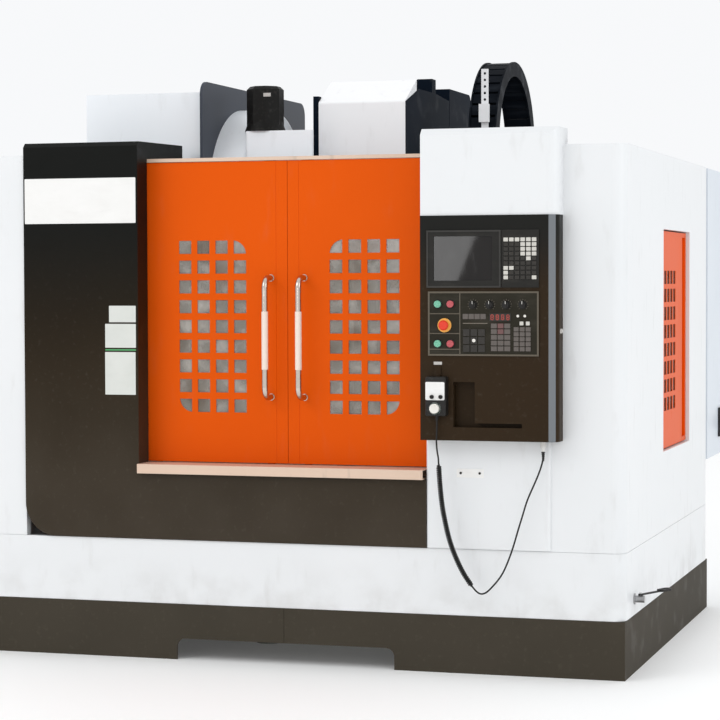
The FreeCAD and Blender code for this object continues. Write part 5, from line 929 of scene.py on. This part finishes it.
# ---------------------------------------------------------------- door handles
HANDLES = {"left sliding door": (-87, 25, 1215), "right sliding door": (59, 25, 1215)}
SLEEVE = 240
SLEEVE_FORM = ((12.4, 0), (13.4, 1.2), (13.6, 4), (13.6, SLEEVE - 4), (13.4, SLEEVE - 1.2), (12.4, SLEEVE))


def build_grip_sleeves(finishes):
    """Pale sleeve over the middle of each door handle."""
    for body, foot in HANDLES.items():
        form = bmesh.new()
        add_turned(form, foot, UP, SLEEVE_FORM, HANDLE_TURN)
        piece_of(body.replace(" sliding door", "_grip_sleeve"), form, finishes["grip_sleeve"], body,
                 True)


# ---------------------------------------------------------------- light
FLOOR_RADIUS = 60.0
FLOOR_STEPS = 96
FLOOR_GLOW = 0.07
DAYLIGHT = (0.955, 0.965, 0.98, 1.0)
DAYLIGHT_STRENGTH = 0.98
WHITE_LIGHT = (1, 1, 1)
COOL_LIGHT = (0.93, 0.97, 1.0)
# each light's place, what it looks at, its width and height, and its power in watts
KEY_LIGHT = ((-5.0, -8.0, 6.5), (0, -1, 1.0), (5.0, 4.0), 150)
SIDE_LIGHT = ((8.5, -3.0, 4.5), (1.4, 0, 1.2), (4.0, 4.0), 120)
CARD_SIZE = (0.5, 0.8)
CARD_POWER = 7.5
CARD_EDGE = (0.381, 0, 0.925)
CARD_PLACE = (-0.959, -6.0, 1.822)


def area_light(name, matrix, size, power, colour):
    data = bpy.data.lights.new(name, "AREA")
    data.shape = "RECTANGLE"
    data.size, data.size_y = size
    data.energy = power
    data.color = colour
    lamp = bpy.data.objects.new(name, data)
    bpy.context.scene.collection.objects.link(lamp)
    lamp.matrix_world = matrix
    lamp.visible_camera = False


def aimed(place, target):
    """Place and turn of a light that looks at a point."""
    turn = (Vector(target) - Vector(place)).to_track_quat("-Z", "Y").to_matrix().to_4x4()
    return Matrix.Translation(place) @ turn


def leaning_card():
    """Place and turn of the narrow light whose slanted edge shows in the screen's glass."""
    edge = Vector(CARD_EDGE)
    out = Vector(TO_OPERATOR)
    turn = Matrix((edge.cross(out), edge, out)).transposed().to_4x4()
    return Matrix.Translation(at(*CARD_PLACE)) @ turn


def build_studio():
    """White floor, even daylight, a key light from the left, a cooler one at the side and the card."""
    form = bmesh.new()
    bmesh.ops.create_circle(form, cap_ends=True, segments=FLOOR_STEPS, radius=FLOOR_RADIUS)
    data = bpy.data.meshes.new("floor")
    form.to_mesh(data)
    form.free()
    floor = Finish("floor_white")
    colour = floor.mixed(floor.patches(size=1.5, detail=3), ink("fbfbfa"), ink("f8f8f7"))
    data.materials.append(floor.shown(Base_Color=colour, Roughness=0.6, Emission_Color=colour,
                                      Emission_Strength=FLOOR_GLOW))
    ground = bpy.data.objects.new("floor", data)
    bpy.context.scene.collection.objects.link(ground)
    world = bpy.data.worlds.new("studio")
    world.use_nodes = True
    world.node_tree.nodes["Background"].inputs["Color"].default_value = DAYLIGHT
    world.node_tree.nodes["Background"].inputs["Strength"].default_value = DAYLIGHT_STRENGTH
    bpy.context.scene.world = world
    for name, (place, target, size, power), colour in (("key_light", KEY_LIGHT, WHITE_LIGHT),
                                                       ("side_light", SIDE_LIGHT, COOL_LIGHT)):
        area_light(name, aimed(place, target), size, power, colour)
    area_light("screen_card", leaning_card(), CARD_SIZE, CARD_POWER, WHITE_LIGHT)
    bpy.context.scene.view_settings.view_transform = "Standard"


build_camera()
finishes = build_finishes()
build_cord(finishes)
paint_frame_nodes(finishes)
build_plates(finishes)
build_key_caps(finishes)
build_digits(finishes)
build_panel_marks(finishes)
build_rings(finishes)
build_pendant_trim(finishes)
build_console_latch(finishes)
build_cord_boot(finishes)
build_grip_sleeves(finishes)
build_studio()
